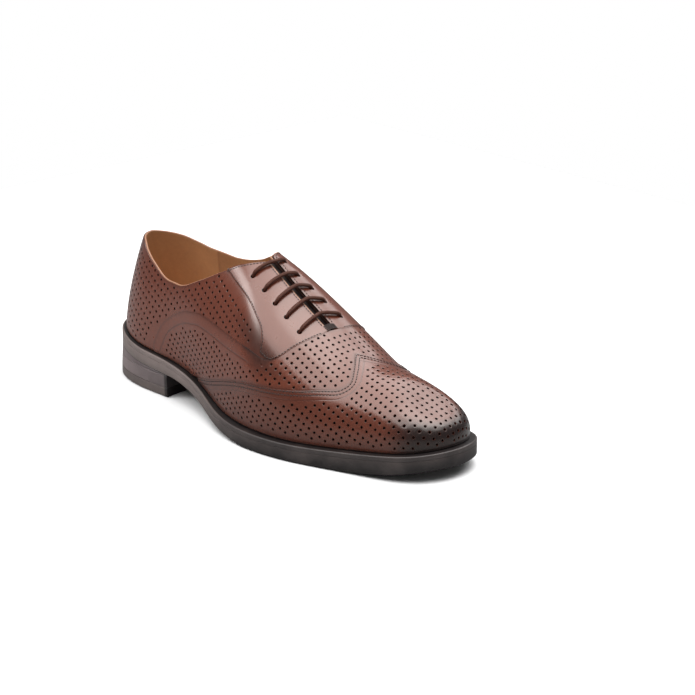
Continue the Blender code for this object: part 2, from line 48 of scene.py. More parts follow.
# name: x, lateral, medial, feather, ridgeX, ridgeZ, leanLateral, leanMedial, rise, crownLateral, crownMedial
lastRows = {
    "heelBack":   (0.0, 0.0, 0.0, 34.0, 44.0, 139.0, 0.8, 0.8, 0.36, 0.46, 0.46),
    "heelCorner": (6.6, -18.7, 18.4, 32.7, 50.7, 137.7, -1.0, -1.0, 0.31, 0.45, 0.45),
    "heelSide":   (28.3, -30.4, 29.3, 28.6, 60.2, 135.6, 0.2, 0.2, 0.35, 0.50, 0.50),
    "heelFront":  (68.3, -32.1, 29.8, 25.3, 84.8, 128.0, 6.0, 4.1, 0.42, 0.61, 0.60),
    "waist":      (105.9, -35.9, 25.0, 19.3, 118.0, 115.0, 12.0, 7.0, 0.45, 0.65, 0.67),
    "shank":      (142.0, -46.9, 27.1, 12.8, 146.4, 103.1, 1.5, 7.9, 0.53, 0.70, 0.89),
    "joint":      (178.0, -50.5, 35.8, 11.0, 170.9, 88.1, 5.6, 6.0, 0.52, 0.785, 0.88),
    "ball":       (205.0, -46.1, 41.9, 11.0, 199.4, 70.0, 4.5, 4.6, 0.47, 0.74, 0.77),
    "toeBase":    (234.0, -36.1, 40.2, 12.3, 225.4, 56.0, 3.6, 3.6, 0.48, 0.70, 0.70),
    "toeSide":    (262.0, -26.2, 36.0, 14.8, 247.1, 51.0, 3.0, 3.0, 0.53, 0.70, 0.70),
    "toeCorner":  (282.5, -15.0, 29.4, 17.4, 258.6, 47.0, 2.6, 2.5, 0.59, 0.68, 0.68),
    "toeTip":     (292.0, 8.5, 8.5, 19.0, 264.5, 43.8, 2.0, 2.0, 0.62, 0.66, 0.66),
}
ridgeLine = {"heel": (0.0, 0.0), "ankle": (60.0, 0.0), "waist": (105.0, -2.5), "collar": (130.0, -6.1),
             "instep": (160.0, -8.0), "throat": (195.0, -5.4), "vamp": (230.0, -1.6), "toe": (263.0, 4.5)}
# along the feather edge, collar height on the lateral and the medial side
topline = {"back": (0.0, 94.0, 94.0), "backCorner": (27.0, 93.3, 90.6), "backSide": (42.0, 89.8, 87.0),
           "ankleRear": (57.0, 84.8, 83.8), "ankle": (80.0, 77.3, 82.8), "ankleFront": (90.0, 77.3, 83.8),
           "rise": (115.0, 86.5, 90.3), "facingRear": (131.0, 95.0, 97.5),
           "facingMid": (145.0, 102.3, 104.6), "facingTop": (156.0, 104.3, 108.0)}
# x, how far the sole stands out past the feather edge, its thickness with the welt
soleRows = {"heelBack": (0.0, 2.4, 10.3), "heelFront": (62.0, 3.8, 10.1), "waistRear": (82.0, 4.3, 9.0),
            "waist": (112.0, 4.4, 9.0), "shank": (140.0, 5.2, 9.6), "ball": (175.0, 5.9, 11.0),
            "toeBase": (250.0, 5.9, 11.8), "toeTip": (290.0, 5.3, 10.8)}
treadRows = {"flatRear": (165.0, 0.0), "flatFront": (226.0, 0.0), "springStart": (240.0, 0.5),
             "spring": (262.0, 2.3), "toeTip": (290.0, 7.9)}
# foot of the section, seam between wing cap and vamp (along, girth), vamp's upper edge (along, girth), steps
panelRows = {
    "rear":       (69.0, 69.0, 0.0, 69.3, 0.05, 3),
    "rearRound":  (75.5, 75.5, 0.0, 77.5, 0.154, 4),
    "counter":    (87.0, 87.0, 0.0, 89.1, 0.232, 4),
    "quarter":    (107.0, 107.0, 0.0, 110.5, 0.323, 4),
    "waist":      (121.0, 121.0, 0.032, 129.9, 0.366, 8),
    "shank":      (161.5, 161.0, 0.156, 157.5, 0.372, 4),
    "joint":      (185.7, 184.7, 0.230, 186.4, 0.424, 4),
    "facingFoot": (206.0, 205.0, 0.305, 198.0, 0.447, 4),
    "ball":       (223.0, 222.0, 0.390, 206.0, 0.515, 4),
    "scoop":      (241.0, 239.5, 0.512, 211.2, 0.625, 4),
    "scoopTurn":  (250.5, 250.2, 0.590, 214.0, 0.700, 5),
    "scoopFront": (274.0, 254.3, 0.700, 216.5, 0.770, 6),
    "peakSide":   (303.0, 248.8, 0.880, 219.6, 0.890, 6),
    "peak":       (312.0, 242.0, 1.0, 221.5, 1.0, 4),
    "toeSideRow": (316.5, 262.0, 1.0, 221.5, 1.0, 4),
    "toeFront":   (321.0, 290.0, 1.0, 221.5, 1.0, 5),
    "toeTip":     (328.571, 328.571, 1.0, 221.5, 1.0, 0),
}
# facing: rear seam (along, girth), the place on the lacing gap across from it, steps
facingRows = {
    "top":        (135.6, 0.668, 155.0, 5),
    "rearUpper":  (151.9, 0.650, 168.0, 5),
    "rearMiddle": (170.1, 0.644, 180.0, 4),
    "rearLower":  (181.7, 0.620, 190.0, 3),
    "rearTurn":   (188.7, 0.596, 197.0, 3),
    "footRear":   (193.6, 0.532, 203.0, 3),
    "foot":       (195.0, 0.462, 207.0, 3),
    "footFront":  (201.8, 0.464, 211.0, 3),
    "frontLower": (208.6, 0.540, 214.0, 3),
    "front":      (213.2, 0.655, 217.0, 3),
    "frontUpper": (218.2, 0.805, 219.6, 3),
    "throat":     (220.6, 0.905, 221.0, 0),
}
# lace bars: along, girth of the eyelet on the lateral and the medial side
laceRows = {"top": (160.0, 0.78, 0.90), "second": (176.5, 0.79, 0.90), "third": (189.5, 0.795, 0.88),
            "fourth": (200.5, 0.793, 0.87), "lowest": (211.2, 0.785, 0.847)}


def column(rows, index):
    return np.array([row[index] for row in rows.values()], float)


def naturalSpline(knots, values):
    steps = np.diff(knots)
    system = np.eye(len(knots))
    right = np.zeros(len(knots))
    for i in range(1, len(knots) - 1):
        system[i, i - 1:i + 2] = steps[i - 1] / 6, (steps[i - 1] + steps[i]) / 3, steps[i] / 6
        right[i] = (values[i + 1] - values[i]) / steps[i] - (values[i] - values[i - 1]) / steps[i - 1]
    bends = np.linalg.solve(system, right)

    def inside(x, slope):
        i = np.clip(np.searchsorted(knots, x, side="right") - 1, 0, len(steps) - 1)
        h = steps[i]
        a = (knots[i + 1] - x) / h
        b = (x - knots[i]) / h
        if slope:
            lift = (3 * b * b - 1) * bends[i + 1] - (3 * a * a - 1) * bends[i]
            return (values[i + 1] - values[i]) / h + lift * h / 6
        curve = ((a ** 3 - a) * bends[i] + (b ** 3 - b) * bends[i + 1]) * h * h / 6
        return a * values[i] + b * values[i + 1] + curve

    def spline(x, slope=False):
        x = np.asarray(x, float)
        held = np.clip(x, knots[0], knots[-1])
        if slope:
            return inside(held, True)
        return inside(held, False) + inside(held, True) * (x - held)

    return spline


def loopSpline(knots, values):
    count = len(knots) - 1
    steps = np.diff(knots)
    system = np.zeros((count, count))
    right = np.zeros((count, values.shape[1]))
    for i in range(count):
        before, after = steps[i - 1], steps[i]
        system[i, i - 1] += before / 6
        system[i, i] += (before + after) / 3
        system[i, (i + 1) % count] += after / 6
        last = values[i - 1 if i else count - 1]
        right[i] = (values[i + 1] - values[i]) / after - (values[i] - last) / before
    bends = np.linalg.solve(system, right)
    bends = np.vstack([bends, bends[:1]])

    def spline(u):
        u = np.mod(np.asarray(u, float), knots[-1])
        i = np.clip(np.searchsorted(knots, u, side="right") - 1, 0, count - 1)
        h = steps[i][..., None]
        a = (knots[i + 1] - u)[..., None] / h
        b = (u - knots[i])[..., None] / h
        curve = ((a ** 3 - a) * bends[i] + (b ** 3 - b) * bends[i + 1]) * h * h / 6
        return a * values[i] + b * values[i + 1] + curve

    return spline


def steadyCurve(knots, values):
    slopes = np.diff(values) / np.diff(knots)
    tangents = np.zeros(len(knots))
    for i in range(1, len(knots) - 1):
        if slopes[i - 1] * slopes[i] > 0:
            tangents[i] = 2 / (1 / slopes[i - 1] + 1 / slopes[i])
    tangents[0], tangents[-1] = slopes[0], slopes[-1]

    def curve(x):
        x = np.clip(np.asarray(x, float), knots[0], knots[-1])
        i = np.clip(np.searchsorted(knots, x, side="right") - 1, 0, len(knots) - 2)
        h = knots[i + 1] - knots[i]
        s = (x - knots[i]) / h
        start = values[i] * (1 + 2 * s) * (1 - s) ** 2 + tangents[i] * h * s * (1 - s) ** 2
        return start + values[i + 1] * s * s * (3 - 2 * s) + tangents[i + 1] * h * s * s * (s - 1)

    return curve


def lastKnots():
    x, lateral, medial = (column(lastRows, i) for i in range(3))
    steps = (np.hypot(np.diff(x), np.diff(lateral)) + np.hypot(np.diff(x), np.diff(medial))) / 2
    return np.concatenate([[0.0], np.cumsum(steps)])


knots = lastKnots()
toeAlong = knots[-1]
roundAlong = 2 * toeAlong
table = np.array(list(lastRows.values()), float)
lastSides = np.vstack([table[:, [0, 1, 4, 6, 8, 9]], table[::-1, [0, 2, 4, 7, 8, 10]][1:]])
section = loopSpline(np.concatenate([knots, roundAlong - knots[::-1][1:]]), lastSides)
featherZ = naturalSpline(column(lastRows, 0), column(lastRows, 3))
ridgeZ = naturalSpline(column(lastRows, 4), column(lastRows, 5))
ridgeY = naturalSpline(column(ridgeLine, 0), column(ridgeLine, 1))
soleReach = steadyCurve(column(soleRows, 0), column(soleRows, 1))
soleThickness = steadyCurve(column(soleRows, 0), column(soleRows, 2))
treadZ = steadyCurve(column(treadRows, 0), column(treadRows, 1))
toplineLateral = steadyCurve(column(topline, 0), column(topline, 1))
toplineMedial = steadyCurve(column(topline, 0), column(topline, 2))


def unit(vectors):
    return vectors / np.maximum(np.linalg.norm(vectors, axis=-1, keepdims=True), 1e-12)


def outward(u):
    step = 0.2
    along = unit(section(u + step)[..., :2] - section(u - step)[..., :2])
    return np.stack([along[..., 1], -along[..., 0]], -1)


# Outside of the upper: u mm round the feather edge, lateral side first; girth is 0 there and 1 on the ridge
def lastSurface(u, girth):
    row = section(u)
    foot = np.stack([row[..., 0], row[..., 1], featherZ(row[..., 0])], -1)
    top = np.stack([row[..., 2], ridgeY(row[..., 2]), ridgeZ(row[..., 2])], -1)
    low = foot.copy()
    low[..., :2] += outward(u) * row[..., 3:4]
    low[..., 2] += row[..., 4] * (top[..., 2] - foot[..., 2])
    reach = (foot - top)[..., :2] * row[..., 5:6]
    high = top.copy()
    high[..., :2] += reach
    high[..., 2] += ridgeZ(row[..., 2], True) * reach[..., 0]
    g = np.asarray(girth, float)[..., None]
    return (1 - g) ** 3 * foot + 3 * (1 - g) ** 2 * g * low + 3 * (1 - g) * g * g * high + g ** 3 * top


def lastNormal(u, girth):
    alongStep, girthStep = 0.5, 0.005
    girth = np.clip(girth, 0.01, 0.985)
    across = lastSurface(u + alongStep, girth) - lastSurface(u - alongStep, girth)
    up = lastSurface(u, girth + girthStep) - lastSurface(u, girth - girthStep)
    return unit(np.cross(across, up))


def offLast(u, girth, lift):
    return lastSurface(u, girth) + lastNormal(u, girth) * np.asarray(lift)[..., None]


def solveGirth(u, error):
    low = np.zeros(np.shape(u))
    high = np.ones(np.shape(u))
    for _ in range(30):
        middle = (low + high) / 2
        below = error(lastSurface(u, middle)) < 0
        low = np.where(below, middle, low)
        high = np.where(below, high, middle)
    return (low + high) / 2


# Upper edge of the upper: collar, then the facing's edge at the lacing gap, then the closed ridge
def edgeGirth(u):
    u = np.mod(u, roundAlong)
    along = np.minimum(u, roundAlong - u)
    height = np.where(u <= toeAlong, toplineLateral(along), toplineMedial(along))
    collar = solveGirth(u, lambda points: points[..., 2] - height)
    close = np.clip((throatAlong - along) / throatRound, 0.0, 1.0)
    half = facingGap / 2 * np.sqrt(close * (2 - close))
    gap = solveGirth(u, lambda points: half - abs(points[..., 1] - ridgeY(points[..., 0])))
    lacing = np.where(along < throatAlong - 0.01, gap, 1.0)
    behind = np.where(along > topline["rise"][0], np.minimum(collar, gap), collar)
    return np.where(along <= facingTopAlong, behind, lacing)


def readRows(rows, first, last):
    names = list(rows)
    start, end = names.index(first), names.index(last)
    steps = column(rows, -1).astype(int)
    place = [np.linspace(i, i + 1, steps[i], endpoint=False) for i in range(start, end)]
    place = np.concatenate(place + [[end]])
    number = np.arange(len(names), dtype=float)
    return [steadyCurve(number, column(rows, i))(place) for i in range(len(rows[first]) - 1)]


# Mesh helpers
finishes = {}


def makePiece(name, points, faces, finishNames, faceFinish=None, normals=None, shades=None, sharp=None):
    mesh = bpy.data.meshes.new(name)
    mesh.from_pydata(((np.asarray(points) - soleMiddle) * mm).tolist(), [], [list(f) for f in faces])
    for finish in finishNames:
        mesh.materials.append(finishes[finish])
    if faceFinish is not None:
        mesh.polygons.foreach_set("material_index", np.asarray(faceFinish, np.int32))
    for title, values in (shades or {}).items():
        layer = mesh.attributes.new(title, "FLOAT", "POINT")
        layer.data.foreach_set("value", np.asarray(values, np.float32))
    mesh.shade_smooth()
    if sharp:
        mesh.set_sharp_from_angle(angle=math.radians(sharp))
    mesh.update()
    if normals is not None:
        mesh.normals_split_custom_set(np.asarray(normals).tolist())
    piece = bpy.data.objects.new(name, mesh)
    bpy.context.scene.collection.objects.link(piece)
    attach(piece, "root")
    return piece


def quadsOf(corners, order=(0, 1, 2, 3)):
    quads = np.stack([corners[:-1, :-1], corners[1:, :-1], corners[1:, 1:], corners[:-1, 1:]], -1)
    return quads.reshape(-1, 4)[:, list(order)]


def gridFaces(rows, count, wrap=False):
    corners = np.arange(rows * count).reshape(rows, count)
    return quadsOf(np.vstack([corners, corners[:1]]) if wrap else corners)


# Quads from ring to ring of points
def ringFaces(levels, size, order, wrap=False):
    corners = np.arange(levels * size).reshape(levels, size)
    corners = np.hstack([corners, corners[:, :1]])
    return quadsOf(np.vstack([corners, corners[:1]]) if wrap else corners, order).tolist()


# A tube along a line: half width beside the line, half height along its normals
def tube(line, normals, wide, high, sides):
    ahead = unit(np.gradient(line, axis=0))
    beside = unit(np.cross(ahead, normals))
    upright = np.cross(beside, ahead)
    turns = np.arange(sides) * 2 * math.pi / sides
    wide = np.broadcast_to(wide, len(line))[:, None, None]
    high = np.broadcast_to(high, len(line))[:, None, None]
    ring = np.sin(turns)[None, :, None] * upright[:, None] * high
    points = line[:, None] + np.cos(turns)[None, :, None] * beside[:, None] * wide + ring
    ends = np.arange(len(line) * sides).reshape(len(line), sides)[[0, -1]].tolist()
    return points.reshape(-1, 3), ringFaces(len(line), sides, (0, 3, 2, 1)) + [ends[0], ends[1][::-1]]


def joined(parts):
    points, faces, start = [], [], 0
    for some, theirs in parts:
        points.append(some)
        faces += [[i + start for i in face] for face in theirs]
        start += len(some)
    return np.vstack(points), faces


def evenly(line, spacing):
    steps = np.concatenate([[0.0], np.cumsum(np.linalg.norm(np.diff(line, axis=0), axis=1))])
    count = max(int(round(steps[-1] / spacing)), 1)
    return steps, np.linspace(0, steps[-1], count + 1)


# A seam: short rounded stitches sunk into a line on the leather
def stitchRow(line, normals, look):
    steps, marks = evenly(line, look["pitch"])
    parts = []
    for start in marks[:-1]:
        way = start + (look["pitch"] + look["length"] * np.linspace(-1, 1, len(look["arch"]))) / 2
        middle = np.stack([np.interp(way, steps, line[:, i]) for i in range(3)], -1)
        up = unit(np.stack([np.interp(way, steps, normals[:, i]) for i in range(3)], -1))
        arch = np.array(look["arch"]) * look["radius"]
        slim = np.array(look["slim"]) * look["radius"]
        parts.append(tube(middle + up * arch[:, None], up, slim, slim, look["sides"]))
    return parts


print("last ready")

# Leather panels: a grid on the last is laid flat, punched there and carried back
girthLength = 100.0  # scale of girth beside millimetres in the pair (along, girth)
batch = 500  # places worked on at once


def layFlat(points, triangles, axis):
    corner = points[triangles]
    side = unit(corner[:, 1] - corner[:, 0])
    up = np.cross(corner[:, 1] - corner[:, 0], corner[:, 2] - corner[:, 0])
    doubleArea = np.linalg.norm(up, axis=1)
    over = np.cross(up / doubleArea[:, None], side)
    apart = corner - corner[:, :1]
    local = (apart * side[:, None]).sum(-1) + 1j * (apart * over[:, None]).sum(-1)
    count, rows = len(points), np.arange(len(triangles))
    system = np.zeros((len(triangles), count), complex)
    for i in range(3):
        across = local[:, (i + 2) % 3] - local[:, (i + 1) % 3]
        system[rows, triangles[:, i]] += across / np.sqrt(doubleArea)
    flat = np.zeros(count, complex)
    flat[axis[1]] = np.linalg.norm(points[axis[1]] - points[axis[0]])
    free = np.setdiff1d(np.arange(count), axis)
    right = -system[:, axis] @ flat[list(axis)]
    normal = system[:, free].conj().T @ system[:, free]
    flat[free] = np.linalg.solve(normal, system[:, free].conj().T @ right)
    weights = np.zeros((len(triangles), 3))
    edges = np.zeros((len(triangles), 3), complex)
    laplace = np.zeros((count, count))
    for i in range(3):
        j, k = (i + 1) % 3, (i + 2) % 3
        spread = (local[:, i] - local[:, k]) * (local[:, j] - local[:, k]).conj()
        weights[:, i] = np.clip(spread.real / np.maximum(abs(spread.imag), 1e-9), 0.02, 20)
        edges[:, i] = local[:, j] - local[:, i]
        a, b = triangles[:, i], triangles[:, j]
        np.add.at(laplace, (a, a), weights[:, i])
        np.add.at(laplace, (b, b), weights[:, i])
        np.add.at(laplace, (a, b), -weights[:, i])
        np.add.at(laplace, (b, a), -weights[:, i])
    laplace[axis[0], axis[0]] += 1.0
    inverse = np.linalg.inv(laplace)
    after = triangles[:, [1, 2, 0]]
    for _ in range(25):  # as rigid as possible, so that distances stay true
        turn = (weights * (flat[after] - flat[triangles]) * edges.conj()).sum(1)
        pull = weights * edges * (turn / np.maximum(abs(turn), 1e-12))[:, None]
        load = np.zeros(count, complex)
        np.add.at(load, triangles, -pull)
        np.add.at(load, after, pull)
        flat = inverse @ load
    turn = flat[axis[1]] - flat[axis[0]]
    return (flat - flat[axis[0]]) * abs(turn) / turn


# Each corner's share of a place in a triangle: all three are above 0 inside it
def shares(corners, places):
    a, b, c = corners.T
    span = ((b - a).conj() * (c - a)).imag
    first = ((b - places).conj() * (c - places)).imag / span
    second = ((c - places).conj() * (a - places)).imag / span
    return np.stack([first, second, 1 - first - second], -1)


# The triangle that each place lies in, or the closest one
def locate(corners, places):
    found = np.empty(len(places), int)
    for start in range(0, len(places), batch):
        part = slice(start, start + batch)
        found[part] = shares(corners, places[part, None]).min(axis=-1).argmax(axis=1)
    return found


def carryIn(found, corners, targets, places):
    return (shares(corners[found], places) * targets[found]).sum(axis=1)


def carry(corners, targets, places):
    return carryIn(locate(corners, places), corners, targets, places)


# A panel's grid of along and girth with its flat picture; axis names two grid places that give its direction
def flatPanel(along, girth, axis):
    rows, count = along.shape
    points = lastSurface(along, girth).reshape(-1, 3)
    _, first, same = np.unique(np.round(points, 3), axis=0, return_index=True, return_inverse=True)
    same = same.reshape(-1)
    quads = gridFaces(rows, count)
    triangles = np.vstack([quads[:, [0, 1, 2]], quads[:, [0, 2, 3]]])
    welded = same[triangles]
    whole = (welded[:, 0] != welded[:, 1]) & (welded[:, 1] != welded[:, 2]) & (welded[:, 0] != welded[:, 2])
    triangles, welded = triangles[whole], welded[whole]
    ends = [same[a * count + b] for a, b in axis]
    flat = layFlat(points[first], welded, ends)
    places = (along + 1j * girthLength * girth).reshape(-1)
    return {"flat": flat[same].reshape(rows, count), "corners": flat[welded], "places": places[triangles]}


def onLast(panel, z, found=None):
    z = np.ravel(z)
    found = locate(panel["corners"], z) if found is None else found
    place = carryIn(found, panel["corners"], panel["places"], z)
    return place.real, np.clip(place.imag / girthLength, 0.0, 1.0)


def toFlat(panel, along, girth):
    return carry(panel["places"], panel["corners"], np.ravel(along + 1j * girthLength * np.asarray(girth)))


def dense(line, spacing):
    line = line[np.concatenate([[True], abs(np.diff(line)) > 1e-4])]
    way = np.concatenate([[0.0], np.cumsum(abs(np.diff(line)))])
    marks = np.linspace(0, way[-1], max(int(way[-1] / spacing), 1) + 1)
    return np.interp(marks, way, line.real) + 1j * np.interp(marks, way, line.imag)


def distanceTo(line, z):
    a, b = line[:-1], line[1:]
    found = np.empty(len(z))
    for start in range(0, len(z), batch):
        part = z[start:start + batch, None]
        s = np.clip(((part - a) * (b - a).conj()).real / np.maximum(abs(b - a) ** 2, 1e-12), 0, 1)
        found[start:start + batch] = abs(part - a - s * (b - a)).min(axis=1)
    return found


def clearOf(holes, spots, reach):
    return spots[np.array([abs(holes - z).min() > reach for z in spots], bool)]


def moved(line, distance):
    ahead = np.gradient(line)
    return line + 1j * ahead / np.maximum(abs(ahead), 1e-9) * distance


def insideLoop(loop, z):
    a, b = loop, np.roll(loop, -1)
    crossed = np.zeros(len(z), bool)
    for p, q in zip(a, b):
        if p.imag != q.imag:
            level = (p.imag > z.imag) != (q.imag > z.imag)
            crossed ^= level & (z.real < p.real + (z.imag - p.imag) * (q.real - p.real) / (q.imag - p.imag))
    return crossed


# Cuts a panel of leather: sides are its border lines in order, each with the smallest distance that a hole
# keeps from it and, where it has them, its edge's finish, a trim of rolled leather and grooves beside it
def leatherPanel(name, panel, sides, look, holes, shadeOf):
    lines, rules = [dense(line, look["borderStep"]) for line, _ in sides], [rule for _, rule in sides]
    loop = np.concatenate([line[:-1] for line in lines])
    sideOf = np.concatenate([np.full(len(line) - 1, i) for i, line in enumerate(lines)])
    if np.sum((loop.conj() * np.roll(loop, -1)).imag) < 0:
        loop, sideOf = loop[::-1], np.roll(sideOf[::-1], -1)
    ring = np.append(loop, loop[0])
    for rule, line in zip(rules, lines):
        holes = holes[distanceTo(line, holes) > rule["margin"] + look["holeRadius"]]
    holes = holes[insideLoop(loop, holes)]
    turns = np.exp(2j * math.pi * np.arange(look["holeSides"]) / look["holeSides"])
    holeReach = look["holeRadius"] + look["rimWidth"]
    rims = holes[:, None] + look["holeRadius"] * turns[None, :]
    collars = holes[:, None] + holeReach * turns[None, :]
    fillX, fillY = np.meshgrid(np.arange(loop.real.min(), loop.real.max(), look["fill"]),
                               np.arange(loop.imag.min(), loop.imag.max(), look["fill"]))
    fillX[1::2] += look["fill"] / 2
    fill = (fillX + 1j * fillY).ravel()
    fill = fill[insideLoop(loop, fill)]
    fill = fill[distanceTo(ring, fill) > look["fillFromEdge"]]
    extra = [clearOf(holes, fill, holeReach + look["fillFromHole"])]
    grooves = []
    closestInset = look["insets"][0]
    for rule, line in zip(rules, lines):
        inner = 1.0 if insideLoop(loop, moved(line, closestInset)[[len(line) // 2]])[0] else -1.0
        near = list(look["insets"])
        for distance in rule.get("grooves", ()):
            grooves.append((line, distance))
            near += [distance + d for d in look["grooveSteps"] if distance + d > look["grooveFromEdge"]]
        for d in near:
            inset = moved(line, inner * d)
            inset = inset[insideLoop(loop, inset)]
            inset = inset[distanceTo(ring, inset) > 0.9 * min(d, closestInset)]
            extra.append(clearOf(holes, inset, holeReach + look["insetFromHole"]))
    places = np.concatenate([loop, rims.ravel(), collars.ravel()] + extra)
    count, holeSides = len(loop), look["holeSides"]
    holeOf = np.full(len(places), -1)
    holeOf[count:count + rims.size] = np.repeat(np.arange(len(holes)), holeSides)
    borders = [(i, (i + 1) % count) for i in range(count)]
    for i in range(len(holes)):
        start = count + i * holeSides
        borders += [(start + k, start + (k + 1) % holeSides) for k in range(holeSides)]
    flat2d = [Vector((z.real, z.imag)) for z in places]
    made = geometry.delaunay_2d_cdt(flat2d, borders, [list(range(count))], 1, 1e-5)
    z = np.array([v.x + 1j * v.y for v in made[0]])
    origin = np.array([o[0] if o else -1 for o in made[3]])
    hole = np.where(origin >= 0, holeOf[origin], -1)
    border = np.where((origin >= 0) & (origin < count), origin, -1)
    faces = np.array([f for f in made[2] if len(f) == 3])
    inHole = (hole[faces[:, 0]] >= 0) & (hole[faces[:, 0]] == hole[faces[:, 1]])
    inHole &= hole[faces[:, 0]] == hole[faces[:, 2]]
    faces = faces[~inHole]

    fromEdge = distanceTo(ring, z)
    found = locate(panel["corners"], z)
    byEdge = fromEdge < look["edgeRound"] + look["slack"]
    byGroove = [abs(distanceTo(line, z) - distance) < look["grooveReach"] for line, distance in grooves]
    closest = np.concatenate([abs(z[i:i + batch, None] - holes).argmin(1) for i in range(0, len(z), batch)])

    def liftAt(spots):
        lift = np.full(len(spots), look["top"])
        edge = np.clip(1 - distanceTo(ring, spots[byEdge]) / look["edgeRound"], 0, 1)
        lift[byEdge] -= look["edgeDrop"] * edge ** 2
        for (line, distance), near in zip(grooves, byGroove):
            away = distanceTo(line, spots[near]) - distance
            lift[near] -= look["grooveDepth"] * np.exp(-(away / look["grooveWidth"]) ** 2)
        close = abs(spots - holes[closest]) - look["holeRadius"]
        return lift - look["rimDrop"] * np.clip(1 - close / look["rimWidth"], 0, 1) ** 2

    def solid(spots):
        along, girth = onLast(panel, spots, found)
        return offLast(along, girth, liftAt(spots)), along, girth

    step = look["slopeStep"]
    top, along, girth = solid(z)
    acrossX = solid(z + step)[0] - solid(z - step)[0]
    acrossY = solid(z + 1j * step)[0] - solid(z - 1j * step)[0]
    normals = unit(np.cross(acrossX, acrossY))
    outer = lastNormal(along, girth)
    normals *= np.sign((normals * outer).sum(1))[:, None]
    corner = top[faces]
    up = np.cross(corner[:, 1] - corner[:, 0], corner[:, 2] - corner[:, 0])
    if np.sum((up * outer[faces[:, 0]]).sum(1)) < 0:
        faces = faces[:, ::-1]
    edges = np.vstack([faces[:, [0, 1]], faces[:, [1, 2]], faces[:, [2, 0]]])
    keys = np.sort(edges, axis=1)
    _, index, times = np.unique(keys, axis=0, return_index=True, return_counts=True)
    rim = edges[index[times == 1]]
    isHole = (hole[rim[:, 0]] >= 0) & (hole[rim[:, 0]] == hole[rim[:, 1]])
    depth = np.where(hole >= 0, look["holeDepth"], look["thickness"])
    total = len(z)
    low = offLast(along, girth, look["top"] - depth)
    walls = np.stack([rim[:, 1], rim[:, 0], rim[:, 0] + total, rim[:, 1] + total], -1)
    points = np.vstack([top, low])
    wallCorner = points[walls]
    wallUp = unit(np.cross(wallCorner[:, 1] - wallCorner[:, 0], wallCorner[:, 3] - wallCorner[:, 0]))
    loopNormals = np.vstack([normals[faces].reshape(-1, 3), np.repeat(wallUp, 4, axis=0)])
    rimSide = np.where(border[rim[:, 0]] >= 0, sideOf[border[rim[:, 0]]], 0)
    edgeFinish = np.array([rule.get("edge", 0) for rule in rules])[rimSide]
    topFinish = np.zeros(len(faces), int)
    for rule, line in zip(rules, lines):
        if rule.get("trim"):
            topFinish[np.all(distanceTo(line, z)[faces] < rule["trim"], axis=1)] = rolled
    faceFinish = np.concatenate([topFinish, np.where(isHole, 0, edgeFinish)])
    shade = shadeOf(along, girth, fromEdge)
    for (line, distance), near in zip(grooves, byGroove):
        away = (distanceTo(line, z[near]) - distance) / look["grooveSpread"]
        shade[near] = np.maximum(shade[near], look["grooveShade"] * np.exp(-away ** 2))
    dark = np.concatenate([np.where(hole >= 0, look["rimShade"], shade), np.full(total, look["wallShade"])])
    used = np.zeros(2 * total, bool)
    used[faces.ravel()] = True
    used[walls.ravel()] = True
    number = np.cumsum(used) - 1
    allFaces = number[faces].tolist() + number[walls].tolist()
    piece = makePiece(name, points[used], allFaces, look["finishes"], faceFinish, loopNormals,
                      {"shade": dark[used]})
    print(name, len(holes), "holes", len(allFaces), "faces")
    return piece


def lattice(start, first, second, reach=90):
    i, j = np.meshgrid(np.arange(-reach, reach + 1), np.arange(-reach, reach + 1))
    return (start + i * first + j * second).ravel()


def lineOnLeather(panel, line, lift):
    along, girth = onLast(panel, line)
    return offLast(along, girth, lift), lastNormal(along, girth)


# Materials
def nodesOf(name):
    made = bpy.data.materials.new(name)
    made.use_nodes = True
    finishes[name] = made
    return made.node_tree, made.node_tree.nodes["Principled BSDF"]


def feed(tree, sockets, inputs):
    for key, value in inputs.items():
        socket = sockets[int(key[1:])] if key[0] == "i" and key[1:].isdigit() else sockets[key]
        if isinstance(value, bpy.types.NodeSocket):
            tree.links.new(value, socket)
        else:
            socket.default_value = value


def add(tree, kind, settings=(), **inputs):
    node = tree.nodes.new("ShaderNode" + kind)
    for key, value in dict(settings).items():
        setattr(node, key, value)
    feed(tree, node.inputs, inputs)
    return node


def math2(tree, operation, first, second):
    return add(tree, "Math", {"operation": operation}, i0=first, i1=second).outputs[0]


def newGroup(name, inputs, outputs):
    group = bpy.data.node_groups.new(name, "ShaderNodeTree")
    for title, kind, value in inputs:
        socket = group.interface.new_socket(title, in_out="INPUT", socket_type="NodeSocket" + kind)
        socket.default_value = value
    for title, kind in outputs:
        group.interface.new_socket(title, in_out="OUTPUT", socket_type="NodeSocket" + kind)
    return group, group.nodes.new("NodeGroupInput"), group.nodes.new("NodeGroupOutput")


def place(tree, group, **inputs):
    node = tree.nodes.new("ShaderNodeGroup")
    node.node_tree = group
    feed(tree, node.inputs, inputs)
    return node


def blend(tree, amount, first, second):
    return add(tree, "Mix", {"data_type": "RGBA"}, i0=amount, i6=first, i7=second).outputs[2]


# finer and swell are scales beside the cells' scale
grainLook = {"finer": 2.7, "fineShare": 0.5, "swell": 0.12, "swellShare": 0.6}
dyeLook = {"broad": 26.0, "broadShare": 0.65, "fine": 420.0, "fineShare": 0.35}


